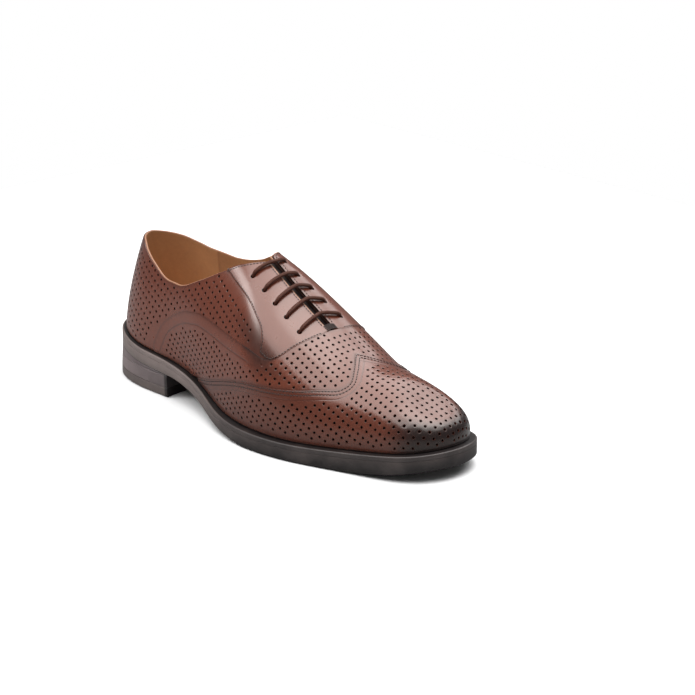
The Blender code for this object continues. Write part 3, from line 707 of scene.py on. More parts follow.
def grainGroup():
    group, given, made = newGroup("leatherGrain", [("Scale", "Float", 900.0), ("Pores", "Float", 0.5)],
                                  [("Height", "Float"), ("Mask", "Float")])
    spot = group.nodes.new("ShaderNodeTexCoord").outputs["Object"]
    cells = add(group, "TexVoronoi", {"feature": "SMOOTH_F1"}, Vector=spot, Scale=given.outputs["Scale"])
    finer = math2(group, "MULTIPLY", given.outputs["Scale"], grainLook["finer"])
    noise = add(group, "TexNoise", (), Vector=spot, Scale=finer, Detail=3.0)
    wide = math2(group, "MULTIPLY", given.outputs["Scale"], grainLook["swell"])
    swell = add(group, "TexNoise", (), Vector=spot, Scale=wide, Detail=2.0)
    pores = math2(group, "MULTIPLY", cells.outputs["Distance"], given.outputs["Pores"])
    height = pores
    for part, share in ((noise, grainLook["fineShare"]), (swell, grainLook["swellShare"])):
        height = math2(group, "ADD", height, math2(group, "MULTIPLY", part.outputs["Fac"], share))
    group.links.new(height, made.inputs["Height"])
    group.links.new(swell.outputs["Fac"], made.inputs["Mask"])
    return group


# Leather colour: dye that drifts with noise, mixed toward the deep colour by the shade attribute, which
# holds painted shade as well as darker seams and burnish
def dyeAndShadeGroup():
    group, given, made = newGroup(
        "leatherDyeAndShade", [("Colour", "Color", (0.2, 0.1, 0.05, 1)), ("Deep", "Color", (0.02, 0.01, 0.01, 1)),
                       ("Shade", "Float", 0.0), ("Drift", "Float", 0.2)], [("Colour", "Color")])
    spot = group.nodes.new("ShaderNodeTexCoord").outputs["Object"]
    broad = add(group, "TexNoise", (), Vector=spot, Scale=dyeLook["broad"], Detail=3.0).outputs["Fac"]
    fine = add(group, "TexNoise", (), Vector=spot, Scale=dyeLook["fine"], Detail=2.0).outputs["Fac"]
    both = math2(group, "ADD", math2(group, "MULTIPLY", broad, dyeLook["broadShare"]),
                 math2(group, "MULTIPLY", fine, dyeLook["fineShare"]))
    swing = math2(group, "MULTIPLY", math2(group, "SUBTRACT", both, 0.5), given.outputs["Drift"])
    total = add(group, "Math", {"operation": "ADD", "use_clamp": True}, i0=given.outputs["Shade"], i1=swing)
    mix = blend(group, total.outputs[0], given.outputs["Colour"], given.outputs["Deep"])
    group.links.new(mix, made.inputs["Colour"])
    return group


leatherGrain = grainGroup()
leatherDyeAndShade = dyeAndShadeGroup()


# A value that a noise swings up and down
def around(tree, noise, middle, swing):
    level = add(tree, "MapRange", (), i0=noise, i1=0.3, i2=0.7, i3=middle - swing, i4=middle + swing)
    return level.outputs[0]


def leatherFinish(name, look):
    tree, shader = nodesOf(name)
    shade = add(tree, "Attribute", {"attribute_name": "shade"}).outputs["Fac"]
    dyeAndShade = place(tree, leatherDyeAndShade, Colour=(*look["colour"], 1), Deep=(*look["deep"], 1), Shade=shade,
                Drift=look["drift"])
    grain = place(tree, leatherGrain, Scale=look["grain"], Pores=look["pores"])
    rough = around(tree, grain.outputs["Mask"], look["rough"], look["roughSwing"])
    bump = add(tree, "Bump", (), Strength=look["bump"], Distance=look["bumpDepth"],
               Height=grain.outputs["Height"])
    feed(tree, shader.inputs, {"Base Color": dyeAndShade.outputs[0], "Roughness": rough,
                               "Normal": bump.outputs[0], "Coat Weight": look["coat"],
                               "Coat Roughness": look["coatRough"], "Specular IOR Level": look["specular"],
                               "Specular Tint": (*look["tint"], 1)})


plainLeather = {"drift": 0.3, "grain": 800.0, "pores": 0.5, "rough": 0.6, "roughSwing": 0.04, "bump": 0.1,
                "bumpDepth": 0.00025, "coat": 0.0, "coatRough": 0.3, "specular": 0.4,
                "tint": (1.0, 1.0, 1.0)}
leathers = {
    "upperLeather": {"colour": (0.108, 0.024, 0.011), "deep": (0.008, 0.003, 0.003), "drift": 0.22,
                     "grain": 950.0, "rough": 0.30, "coat": 0.6, "coatRough": 0.19, "specular": 0.55,
                     "tint": (1.0, 0.86, 0.78)},
    # dark backing: painted shade at the bottoms of the holes and in the lacing gap
    "shadowBacking": {"colour": (0.040, 0.015, 0.010), "deep": (0.020, 0.009, 0.007), "drift": 0.2, "grain": 900.0,
                "rough": 0.8, "specular": 0.2},
    "liningLeather": {"colour": (0.50, 0.26, 0.12), "deep": (0.20, 0.085, 0.04), "drift": 0.75,
                      "grain": 520.0, "pores": 0.4, "rough": 0.62, "bump": 0.3, "specular": 0.35},
    "rolledEdge": {"colour": (0.31, 0.155, 0.092), "deep": (0.18, 0.08, 0.045), "drift": 0.35, "pores": 0.4,
                   "rough": 0.5},
    "cutEdge": {"colour": (0.05, 0.020, 0.014), "deep": (0.022, 0.010, 0.008), "drift": 0.4, "grain": 1500.0,
                "pores": 0.6, "bump": 0.15},
    # near-black: the lacing gap's shadow, painted on the tongue
    "tongueInShadow": {"colour": (0.013, 0.007, 0.006), "deep": (0.008, 0.005, 0.004), "rough": 0.55,
                      "bump": 0.12, "specular": 0.3},
}
threadLook = {"dark": (0.012, 0.007, 0.006, 1), "light": (0.040, 0.020, 0.016, 1), "grain": 3000.0,
              "rough": 0.6, "bump": 0.3, "bumpDepth": 0.0001}
cordLook = {"dark": (0.012, 0.003, 0.002, 1), "light": (0.058, 0.014, 0.007, 1), "strands": 8, "slope": 3.6,
            "darkest": -0.6, "bump": 0.5, "bumpDepth": 0.0003, "rough": 0.5, "specular": 0.5,
            "tint": (1.0, 0.62, 0.5, 1)}
rubberGrain = {"cloud": 60.0, "cloudShare": 0.5, "speck": 1400.0, "roughSwing": 0.06, "bump": 0.12,
               "bumpDepth": 0.0002}
rubbers = {"soleRubber": {"light": (0.16, 0.125, 0.115, 1), "dark": (0.010, 0.007, 0.007, 1), "rough": 0.42},
           "heelRubber": {"light": (0.17, 0.132, 0.132, 1), "dark": (0.024, 0.018, 0.018, 1), "rough": 0.45}}


def threadFinish():
    tree, shader = nodesOf("thread")
    spot = tree.nodes.new("ShaderNodeTexCoord").outputs["Object"]
    noise = add(tree, "TexNoise", (), Vector=spot, Scale=threadLook["grain"], Detail=2.0).outputs["Fac"]
    bump = add(tree, "Bump", (), Strength=threadLook["bump"], Distance=threadLook["bumpDepth"], Height=noise)
    feed(tree, shader.inputs, {"Base Color": blend(tree, noise, threadLook["dark"], threadLook["light"]),
                               "Normal": bump.outputs[0], "Roughness": threadLook["rough"]})


def laceFinish():
    tree, shader = nodesOf("laceCord")
    along = add(tree, "Attribute", {"attribute_name": "along"}).outputs["Fac"]
    turn = add(tree, "Attribute", {"attribute_name": "turn"}).outputs["Fac"]
    strands = []
    for sign in (1.0, -1.0):
        angle = math2(tree, "ADD", math2(tree, "MULTIPLY", along, cordLook["slope"]),
                      math2(tree, "MULTIPLY", turn, sign * cordLook["strands"] * 2 * math.pi))
        strands.append(math2(tree, "SINE", angle, 0.0))
    weave = math2(tree, "MAXIMUM", strands[0], strands[1])
    level = add(tree, "MapRange", (), i0=weave, i1=cordLook["darkest"], i2=1.0).outputs[0]
    bump = add(tree, "Bump", (), Strength=cordLook["bump"], Distance=cordLook["bumpDepth"], Height=weave)
    feed(tree, shader.inputs, {"Base Color": blend(tree, level, cordLook["dark"], cordLook["light"]),
                               "Normal": bump.outputs[0], "Roughness": cordLook["rough"],
                               "Specular IOR Level": cordLook["specular"],
                               "Specular Tint": cordLook["tint"]})


def rubberFinish(name, look):
    tree, shader = nodesOf(name)
    spot = tree.nodes.new("ShaderNodeTexCoord").outputs["Object"]
    cloud = add(tree, "TexNoise", (), Vector=spot, Scale=rubberGrain["cloud"], Detail=4.0).outputs["Fac"]
    speck = add(tree, "TexNoise", (), Vector=spot, Scale=rubberGrain["speck"], Detail=2.0).outputs["Fac"]
    shade = add(tree, "Attribute", {"attribute_name": "shade"}).outputs["Fac"]
    swing = math2(tree, "MULTIPLY", math2(tree, "SUBTRACT", cloud, 0.5), rubberGrain["cloudShare"])
    amount = math2(tree, "ADD", shade, swing)
    rough = around(tree, cloud, look["rough"], rubberGrain["roughSwing"])
    bump = add(tree, "Bump", (), Strength=rubberGrain["bump"], Distance=rubberGrain["bumpDepth"],
               Height=speck)
    feed(tree, shader.inputs, {"Base Color": blend(tree, amount, look["light"], look["dark"]),
                               "Roughness": rough, "Normal": bump.outputs[0]})


for name, look in leathers.items():
    leatherFinish(name, {**plainLeather, **look})
threadFinish()
laceFinish()
for name, look in rubbers.items():
    rubberFinish(name, look)
print("finishes ready")

# Upper: lining inside and, under the cut panels, a dark backing outside: painted shade for the bottoms of
# the holes and the lacing gap
upperLook = {"columns": 480, "rows": 26, "shadowBacking": -0.95}
liningLook = {"seam": 63.0, "rear": 0.14, "front": 0.26, "fade": 0.16, "fadeReach": (4, 50), "line": 0.3,
              "lineWidth": 1.2}
collarLook = {"columns": 260, "in": 1.35, "up": 0.15, "radius": 0.58, "sides": 12}


def smooth(x, low, high):
    s = np.clip((x - low) / (high - low), 0, 1)
    return s * s * (3 - 2 * s)


def addUpperWall():
    u = np.linspace(0, roundAlong, upperLook["columns"], endpoint=False)
    way = np.linspace(0, 1, upperLook["rows"])
    girth = edgeGirth(u)[:, None] * way[None, :]
    along = np.repeat(u[:, None], len(way), 1)
    outside = offLast(along, girth, np.full(girth.shape, upperLook["shadowBacking"])).reshape(-1, 3)
    inside = offLast(along, girth, np.full(girth.shape, -upperWall)).reshape(-1, 3)
    faces = gridFaces(len(u), len(way), wrap=True)
    total = len(outside)
    points = np.vstack([outside, inside])
    under = faces[:, ::-1] + total
    corners = np.arange(total).reshape(len(u), len(way))
    after = np.roll(corners, -1, axis=0)
    top = np.stack([corners[:, -1], after[:, -1], after[:, -1] + total, corners[:, -1] + total], -1)
    foot = np.stack([after[:, 0], corners[:, 0], corners[:, 0] + total, after[:, 0] + total], -1)
    allFaces = np.vstack([faces, under, top, foot])
    collar = np.minimum(u, roundAlong - u) < facingTopAlong
    kind = np.concatenate([np.zeros(len(faces)), np.ones(len(under)), collar, np.zeros(len(foot))])
    fromSeam = np.minimum(along, roundAlong - along) - liningLook["seam"]
    shade = liningLook["rear"] + liningLook["front"] * smooth(fromSeam, -1, 1)
    shade -= liningLook["fade"] * smooth(fromSeam, *liningLook["fadeReach"])
    shade += liningLook["line"] * np.exp(-(fromSeam / liningLook["lineWidth"]) ** 2)
    shade = np.concatenate([np.zeros(total), shade.ravel()])
    piece = makePiece("upperWall", points, allFaces, ["shadowBacking", "liningLeather"], kind,
                      shades={"shade": shade}, sharp=50)
    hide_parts("upper")


def addCollarRoll():
    u = np.linspace(-facingTopAlong, facingTopAlong, collarLook["columns"])
    girth = edgeGirth(u)
    base = lastSurface(u, girth)
    normal = lastNormal(u, girth)
    up = unit(lastSurface(u, girth + 0.004) - base)
    line = base - normal * collarLook["in"] + up * collarLook["up"]
    points, faces = tube(line, up, collarLook["radius"], collarLook["radius"], collarLook["sides"])
    piece = makePiece("collarRoll", points, faces, ["rolledEdge"], shades={"shade": np.zeros(len(points))})


addUpperWall()
addCollarRoll()
print("upper wall ready")

# Cut leather
punch = {"holeRadius": 0.86, "holeSides": 12, "rimWidth": 0.28, "rimDrop": 0.12, "rimShade": 0.6,
         "wallShade": 0.85}
holeFloor = 0.92  # where the holes end, under the last's surface
leatherMesh = {"borderStep": 1.1, "insets": (0.3, 0.8), "insetFromHole": 0.2, "fill": 2.4,
               "fillFromEdge": 1.5, "fillFromHole": 0.35, "grooveSteps": (-0.8, -0.4, 0.0, 0.4, 0.8),
               "grooveFromEdge": 0.4, "grooveReach": 1.5, "slack": 0.2, "slopeStep": 0.06}
leatherEdge = {"edgeRound": 0.6, "edgeDrop": 0.2, "grooveDepth": 0.08, "grooveWidth": 0.34,
               "grooveShade": 0.55, "grooveSpread": 0.5,
               "finishes": ["upperLeather", "cutEdge", "rolledEdge"]}
fineThread = {"pitch": 2.1, "length": 1.8, "radius": 0.25, "arch": (-0.9, 0.25, 0.55, 0.25, -0.9),
              "slim": (0.55, 1.0, 1.0, 1.0, 0.55), "sides": 6, "edgeStep": 0.7, "rowStep": 0.8,
              "slack": 0.12}
cut, rolled = 1, 2  # places of these edges in the list of finishes
footGirth = 0.006
allStitches = []


def leatherLook(top, thickness, **more):
    return {"top": top, "thickness": thickness, "holeDepth": top + holeFloor, **punch, **leatherMesh,
            **leatherEdge, **more}


def ruled(start, end, count):
    way = np.linspace(0, 1, count)[None, :]
    return [a[:, None] + (b - a)[:, None] * way for a, b in zip(start, end)]


def bothSides(along, girth, shared):
    back = slice(-2, None, -1) if shared else slice(None, None, -1)
    return np.vstack([along, (roundAlong - along)[back]]), np.vstack([girth, girth[back]])


# Darker toe tip: a burnish over the toe, and painted shade that makes its low front wall (side) far darker
# than its top
burnishAndShade = {"along": (276, 306), "girth": (0.37, 0.59), "top": 0.12, "side": 0.88}


def toeBurnishAndShade(along, girth):
    ahead = smooth(np.minimum(along, roundAlong - along), *burnishAndShade["along"])
    return ahead * (burnishAndShade["top"] + burnishAndShade["side"] * (1 - smooth(girth, *burnishAndShade["girth"])))


seamLook = {"reach": 2.0, "full": 1.2, "bend": 1.5}


def seamShade(near, depth, reach=seamLook["reach"]):
    return depth * np.clip(seamLook["full"] - near / reach, 0, 1) ** seamLook["bend"]


# A dark spot, deepest in its middle
def spotShade(along, girth, spot):
    away = abs(np.minimum(along, roundAlong - along) - spot["along"]) / spot["reach"]
    return np.clip(spot["full"] - (away + abs(girth - spot["girth"]) / spot["spread"]), 0, 1)


# Places on the flat panel of some of the photo's holes, kept as along and girth
def holeMarks(panel, places, side=1):
    along = column(places, 0)
    return toFlat(panel, along if side > 0 else roundAlong - along, column(places, 1))


# 1 where the panel lies to the left of a line on its border, -1 where it lies to the right
def inward(panel, line):
    middle = moved(line, 1.0)[len(line) // 2]
    return 1.0 if np.any(shares(panel["corners"], middle).min(axis=-1) > -1e-6) else -1.0


# Rows of stitches beside a line; they stop where another line comes closer than their own
def stitchAlong(panel, line, distances, lift, others=()):
    side = inward(panel, line)
    line = dense(line, fineThread["edgeStep"])
    for distance in distances:
        spots = moved(line, side * distance)
        for other in (line, *others):
            spots = spots[distanceTo(other, spots) > distance - fineThread["slack"]]
        row = lineOnLeather(panel, dense(spots, fineThread["rowStep"]), lift)
        allStitches.extend(stitchRow(*row, fineThread))


wingLook = leatherLook(0.9, 0.9, columns=9, footMargin=2.2, rearMargin=3.0, seamMargin=7.0, peakMargin=13.5,
                       seamGrooves=(0.9, 3.1, 6.0), stitches=(0.9, 3.1), seamLowest=0.02)
# one hole, the third one behind it and the second one above it
wingHoles = {"first": (317.1, 0.383), "behind": (298.3, 0.377), "above": (313.3, 0.590)}
wingShade = {"side": 0.22, "edge": 0.12, "edgeReach": (3, 11), "girth": (0.36, 0.54), "seam": 0.4}


def addWingCap():
    foot, seamAlong, seamGirth = readRows(panelRows, "waist", "toeTip")[:3]
    seamAlong = np.minimum(seamAlong, toeAlong)
    foot = np.minimum(foot, toeAlong)
    seamGirth = np.clip(seamGirth, wingLook["seamLowest"], 1.0)
    low = np.full(len(foot), footGirth)
    along, girth = bothSides(*ruled((foot, low), (seamAlong, seamGirth), wingLook["columns"]), shared=True)
    peak = int(np.argmax(seamGirth >= 1.0))
    toe = len(foot) - 1
    panel = flatPanel(along, girth, ((peak, -1), (toe, -1)))
    flat = panel["flat"]
    lateral, medial = flat[:peak + 1, -1], flat[len(flat) - 1 - peak:, -1]
    rear = {"margin": wingLook["rearMargin"]}
    seam = {"margin": wingLook["seamMargin"], "edge": cut, "grooves": wingLook["seamGrooves"]}
    sides = [(flat[:, 0], {"margin": wingLook["footMargin"]}), (flat[-1], rear), (medial[::-1], seam),
             (lateral[::-1], seam), (flat[0, ::-1], rear)]
    first, behind, above = holeMarks(panel, wingHoles)
    across, step = (first - behind) / 3, (above - first) / 2
    step *= abs(across) / math.sqrt(2) / abs(step)
    holes = lattice(first, step, step + across)
    holes = holes[abs(holes - lateral[-1]) > wingLook["peakMargin"]]

    def shade(u, g, near):
        band = wingShade["side"] + wingShade["edge"] * (1 - smooth(near, *wingShade["edgeReach"]))
        band *= 1 - smooth(g, *wingShade["girth"])
        return np.maximum(np.maximum(toeBurnishAndShade(u, g), band), seamShade(near, wingShade["seam"]))

    piece = leatherPanel("wingCap", panel, sides, wingLook, holes, shade)
    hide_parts("wing_cap")
    stitchAlong(panel, lateral, wingLook["stitches"], wingLook["top"], [medial])
    stitchAlong(panel, medial, wingLook["stitches"], wingLook["top"], [lateral])


vampLook = leatherLook(0.4, 0.4, edgeDrop=0.05, columns=9, seamMargin=0.8, rearMargin=3.0, topMargin=9.6,
                       topGroove=7.6, throatMargin=1.0, throatFrom=189)
# one hole, the sixth one ahead of it and the second one across from it
vampHoles = {"first": (224.2, 0.856), "ahead": (247.9, 0.828), "across": (225.9, 0.967)}
vampSpot = {"along": 194, "girth": 0.43, "reach": 24, "spread": 0.11, "full": 1.2, "depth": 0.7,
            "seam": 0.35, "seamDeeper": 0.6, "deeperFrom": (0.1, 0.5)}


def addVamp():
    foot, seamAlong, seamGirth, topAlong, topGirth = readRows(panelRows, "rear", "peak")
    seam = seamAlong, np.clip(seamGirth, footGirth, 1.0)
    along, girth = bothSides(*ruled(seam, (topAlong, topGirth), vampLook["columns"]), shared=False)
    peak = len(foot) - 1
    panel = flatPanel(along, girth, ((peak, -1), (peak, 0)))
    flat = panel["flat"]
    turn = int(np.argmax(topAlong > vampLook["throatFrom"]))
    last = len(flat) - 1
    rear = {"margin": vampLook["rearMargin"]}
    plain = {"margin": vampLook["topMargin"], "edge": cut, "grooves": (vampLook["topGroove"],)}
    throat = {"margin": vampLook["throatMargin"], "edge": cut}
    sides = [(flat[:, 0], {"margin": vampLook["seamMargin"]}), (flat[-1], rear),
             (flat[last - turn:, -1][::-1], plain), (flat[turn:last - turn + 1, -1][::-1], throat),
             (flat[:turn + 1, -1][::-1], plain), (flat[0, ::-1], rear)]
    first, ahead, across = holeMarks(panel, vampHoles)
    holes = lattice(first, (ahead - first) / 6, (across - first) / 2)

    def shade(u, g, near):
        deep = spotShade(u, g, vampSpot)
        seamDepth = vampSpot["seam"] + vampSpot["seamDeeper"] * smooth(deep, *vampSpot["deeperFrom"])
        return np.maximum(seamShade(near, seamDepth), vampSpot["depth"] * deep)

    piece = leatherPanel("vampPanel", panel, sides, vampLook, holes, shade)
    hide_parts("vamp")


quarterLook = leatherLook(0.0, 0.95, holeDepth=0.95, columns=13, rear=34, ahead=66, vampFrom=69.0,
                          facingFrom=136.0, front=200, underVamp=0.06, underFacing=0.045, footMargin=2.0,
                          vampMargin=8.0, frontMargin=4.0, facingMargin=8.2, collarMargin=0.8,
                          backMargin=1.4, axis=((0, 4), (60, 4)))
# ten steps lie between rear and front; below, rearLower and frontBelow lie one step under another one
quarterHoles = {"first": (105.7, 0.410), "rear": (54.5, 0.240), "front": (123.5, 0.497),
                "rearUpper": (68.1, 0.267), "rearLower": (68.1, 0.220), "below": (109.0, 0.370),
                "frontBelow": (126.4, 0.450)}
quarterSpot = {"along": 190, "girth": 0.50, "reach": 30, "spread": 0.22, "full": 1.15, "depth": 0.65,
               "seam": 0.3}


def addQuarter(name, side):
    vampFrom, facingFrom = quarterLook["vampFrom"], quarterLook["facingFrom"]
    topAlong, topGirth = readRows(panelRows, "rear", "ball")[3:5]
    rearAlong, rearGirth = readRows(facingRows, "top", "foot")[:2]
    u = np.concatenate([np.linspace(0, vampFrom, quarterLook["rear"], endpoint=False),
                        np.linspace(vampFrom, quarterLook["front"], quarterLook["ahead"])])
    low = np.maximum(np.interp(u, topAlong, topGirth) - quarterLook["underVamp"], footGirth)
    low = np.where(u < vampFrom, footGirth, low)
    high = edgeGirth(u * side)
    behind = np.interp(u, rearAlong, rearGirth + quarterLook["underFacing"])
    high = np.where(u > facingFrom, np.minimum(behind, high), high)
    along, girth = ruled((u, low), (u, high), quarterLook["columns"])
    along = np.mod(along * side, roundAlong) if side < 0 else along
    panel = flatPanel(along, girth, quarterLook["axis"])
    flat = panel["flat"]
    if side < 0:
        panel["places"] = np.where(panel["places"].real < 1, panel["places"] + roundAlong, panel["places"])
    collar = int(np.argmax(u > facingFrom))
    vampRear = int(np.argmax(u >= vampFrom))
    lines = {"foot": flat[:vampRear + 1, 0], "vamp": flat[vampRear:, 0], "front": flat[-1],
             "facing": flat[collar:, -1][::-1], "collar": flat[:collar + 1, -1][::-1], "back": flat[0, ::-1]}
    sides = [(line, {"margin": quarterLook[edge + "Margin"]}) for edge, line in lines.items()]
    first, rear, front, rearUpper, rearLower, below, frontBelow = holeMarks(panel, quarterHoles, side)
    across = (front - rear) / 10
    down = (rearLower - rearUpper + below - first + frontBelow - front) / 3
    holes = lattice(first, (across + down) / 2, (down - across) / 2)

    def shade(u, g, near):
        deep = quarterSpot["depth"] * spotShade(u, g, quarterSpot)
        return np.maximum(seamShade(near, quarterSpot["seam"]), deep)

    piece = leatherPanel(name, panel, sides, quarterLook, holes, shade)


facingLook = leatherLook(0.7, 0.7, holeRadius=1.6, holeSides=20, columns=11, margin=0.5, trim=0.85,
                         rearStitches=(1.0,), topStitches=(1.6,), unstitched=6, medialTurn=168.0,
                         medialLonger=18.5 / 13.0, axis=((0, 5), (20, 5)))
facingShade = {"girth": (0.46, 0.62), "foot": 0.8, "seam": 0.3, "seamReach": 1.6}


def addFacing(name, node, side):
    rearAlong, rearGirth, gapAlong = readRows(facingRows, "top", "throat")
    if side < 0:
        turn = facingLook["medialTurn"]
        gapAlong = np.where(gapAlong < turn, turn - (turn - gapAlong) * facingLook["medialLonger"], gapAlong)
    gap = edgeGirth(gapAlong * side)
    along, girth = ruled((rearAlong, rearGirth), (gapAlong, gap), facingLook["columns"])
    girth = np.minimum(girth, edgeGirth(along * side))
    panel = flatPanel(np.mod(along * side, roundAlong), girth, facingLook["axis"])
    flat = panel["flat"]
    plain = {"margin": facingLook["margin"]}
    gapRule, topRule = {**plain, "edge": cut}, {**plain, "edge": rolled}
    (gapRule if side > 0 else topRule)["trim"] = facingLook["trim"]
    sides = [(flat[:, 0], {**plain, "edge": cut}), (flat[-1], plain), (flat[::-1, -1], gapRule),
             (flat[0, ::-1], topRule)]
    bars = np.array(list(laceRows.values()))
    holes = toFlat(panel, np.mod(bars[:, 0] * side, roundAlong), bars[:, 1 if side > 0 else 2])

    def shade(u, g, near):
        foot = 1 - smooth(g, *facingShade["girth"])
        return np.maximum(seamShade(near, facingShade["seam"], facingShade["seamReach"]),
                          facingShade["foot"] * foot)

    piece = leatherPanel(name, panel, sides, facingLook, holes, shade)
    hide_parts(node)
    stitchAlong(panel, flat[:, 0], facingLook["rearStitches"], facingLook["top"])
    topLine = np.concatenate([flat[0], flat[1:-facingLook["unstitched"], -1]])
    stitchAlong(panel, topLine, facingLook["topStitches"], facingLook["top"])


addWingCap()
addVamp()
addQuarter("quarterLateral", 1)
addQuarter("quarterMedial", -1)
addFacing("facingLateral", "facing_lateral", 1)
addFacing("facingMedial", "facing_medial", -1)

# Stitches across the foot of the lacing gap
bartack = {"reach": (217.6, 220.6), "count": 6, "girth": 0.955, "radius": 0.29, "rise": 0.6, "sink": 1.5,
           "sides": 8}


def addBartack():
    radius = bartack["radius"]
    for along in np.linspace(*bartack["reach"], bartack["count"]):
        rising = np.linspace(bartack["girth"], 1, 5)
        girth = np.concatenate([rising, np.linspace(1, bartack["girth"], 5)[1:]])
        u = np.where(np.arange(len(girth)) < len(rising), along, roundAlong - along)
        line = offLast(u, girth, np.full(len(girth), facingLook["top"] + radius * bartack["rise"]))
        line[[0, -1]] -= lastNormal(u, girth)[[0, -1]] * radius * bartack["sink"]
        allStitches.append(tube(line, lastNormal(u, girth), radius, radius, bartack["sides"]))


addBartack()
stitchPoints, stitchFaces = joined(allStitches)
stitching = makePiece("stitching", stitchPoints, stitchFaces, ["thread"])
print("cut leather ready", len(allStitches), "stitches")

# Tongue
tongueLook = {"top": 152.0, "front": 232.0, "topTrim": 1.5, "frontTrim": 3.0, "clear": 0.8, "thickness": 1.8,
              "rows": 60, "columns": 14, "thin": 0.55, "sideBend": 10, "endBend": 30,
              "side": {"top": (152.0, 0.80), "lacing": (190.0, 0.75), "front": (232.0, 0.84)}}


def addTongue():
    along = np.linspace(tongueLook["top"] + tongueLook["topTrim"],
                        tongueLook["front"] - tongueLook["frontTrim"], tongueLook["rows"])
    low = np.interp(along, column(tongueLook["side"], 0), column(tongueLook["side"], 1))
    rise = np.linspace(0, 1, tongueLook["columns"])
    lateral = low[:, None] + (1 - low[:, None]) * rise[None, :]
    girth = np.hstack([lateral, lateral[:, ::-1][:, 1:]])
    side = np.repeat(along[:, None], len(rise), 1)
    u = np.hstack([side, roundAlong - side[:, 1:]])
    top = -(upperWall + tongueLook["clear"])
    across = abs(np.linspace(-1, 1, u.shape[1])[None, :]) ** tongueLook["sideBend"]
    ends = abs(np.linspace(-1, 1, u.shape[0])[:, None]) ** tongueLook["endBend"]
    thin = tongueLook["thin"] * np.maximum(across, ends)
    base, normal = lastSurface(u, girth), lastNormal(u, girth)
    normal[:, len(rise) - 1] = unit(normal[:, len(rise) - 2] + normal[:, len(rise)])
    outer = (base + normal * (top - thin)[..., None]).reshape(-1, 3)
    inner = (base + normal * (top - tongueLook["thickness"] + thin)[..., None]).reshape(-1, 3)
    faces = gridFaces(*u.shape)
    total = len(outer)
    corners = np.arange(total).reshape(u.shape)
    ring = np.concatenate([corners[:-1, 0], corners[-1, :-1], corners[:0:-1, -1], corners[0, :0:-1]])
    after = np.roll(ring, -1)
    walls = np.stack([after, ring, ring + total, after + total], -1)
    allFaces = np.vstack([faces, faces[:, ::-1] + total, walls])
    kind = np.concatenate([np.zeros(len(faces)), np.ones(len(faces)), np.zeros(len(walls))])
    # the tongue's outer side is painted near-black, the shadow it lies in under the lacing gap
    piece = makePiece("tonguePiece", np.vstack([outer, inner]), allFaces, ["tongueInShadow", "liningLeather"],
                      kind, shades={"shade": np.zeros(2 * total)}, sharp=50)
    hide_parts("tongue")


addTongue()

# Sole, welt, heel and insole
soleLook = {"columns": 520, "seat": 0.3, "clear": 0.12, "round": 0.8, "roundSteps": 5,
            "underside": (20.0, 6.0), "topEdge": 0.5, "topTuck": 10.0}
weltLook = {"height": 3.0, "tuck": 2.3, "lowEdge": 0.3, "topEdge": 0.4}
# painted shade on the sole's edge: darker towards the front and near the bottom
solePaintedShade = {"rear": 0.06, "front": 0.76, "frontReach": (75, 190), "low": 0.2, "lowReach": (0.5, 4.0)}
# rings: how far in from the insole's edge, how far under its top
insoleLook = {"tuck": 2.8, "rise": 1.5, "shade": 0.25,
              "rings": ((0.0, 0.5), (0.25, 0.1), (0.7, 0.0), (3.0, 0.2), (7.0, 0.5))}
# foot: tuck and height over the top piece; groove: height beside the lift's line and tuck;
# top: tuck and depth under the sole
heelLook = {"breast": 70.0, "hollow": 2.5, "topPiece": 6.0, "flare": 3.4, "taper": 17.0, "lift": 14.4,
            "foot": ((0.25, 0.15), (0.0, 0.5)), "groove": ((-0.5, 0.0), (-0.2, 0.3), (0.2, 0.3), (0.5, 0.0)),
            "top": ((0.05, 0.5), (0.35, 0.12)), "reach": 110, "columns": 400, "sideColumns": 160,
            "breastColumns": 24}
# heel tones: the part above the lift's line and the top piece darker; painted shade darker towards the
# breast and black on the breast itself
heelTintAndShade = {"upper": 0.2, "front": 0.4, "frontReach": (0, 60), "topPiece": 0.45, "breast": 1.0}


def soleTop(x):
    return featherZ(x) - soleLook["seat"]


def weltFloor(x):
    return soleTop(x) - weltLook["height"]


def soleBottom(x):
    arch = np.maximum(featherZ(x) - soleThickness(x), 0.0)
    return np.where(x < treadRows["flatRear"][0], arch, treadZ(x))


soleAlong = np.linspace(0, roundAlong, soleLook["columns"], endpoint=False)


# A ring round the sole, tucked in from the sole's edge or, with np.zeros_like as base, from the feather edge
def soleRing(tuck, height, base=soleReach):
    foot = section(soleAlong)[:, :2]
    reach = base(foot[:, 0]) - tuck
    flat = foot + outward(soleAlong) * reach[:, None]
    return np.column_stack([flat, height(foot[:, 0])])


# A solid with end caps, or a ring that closes on itself
def loft(rings, capped=True):
    size, levels = len(rings[0]), len(rings)
    faces = ringFaces(levels, size, (0, 3, 2, 1), wrap=not capped)
    if capped:
        for start, turn in ((0, -1), ((levels - 1) * size, 1)):
            for i in range(size // 2):
                pair = [i, i + 1, size - i - 1, (size - i) % size]
                faces.append([start + k for k in dict.fromkeys(pair)][::turn])
    return np.vstack(rings), faces


def soleShade(points):
    x = points[:, 0]
    low = 1 - smooth(points[:, 2] - soleBottom(x), *solePaintedShade["lowReach"])
    ahead = smooth(x, *solePaintedShade["frontReach"])
    return np.clip(solePaintedShade["rear"] + solePaintedShade["front"] * ahead + solePaintedShade["low"] * low, 0, 1)


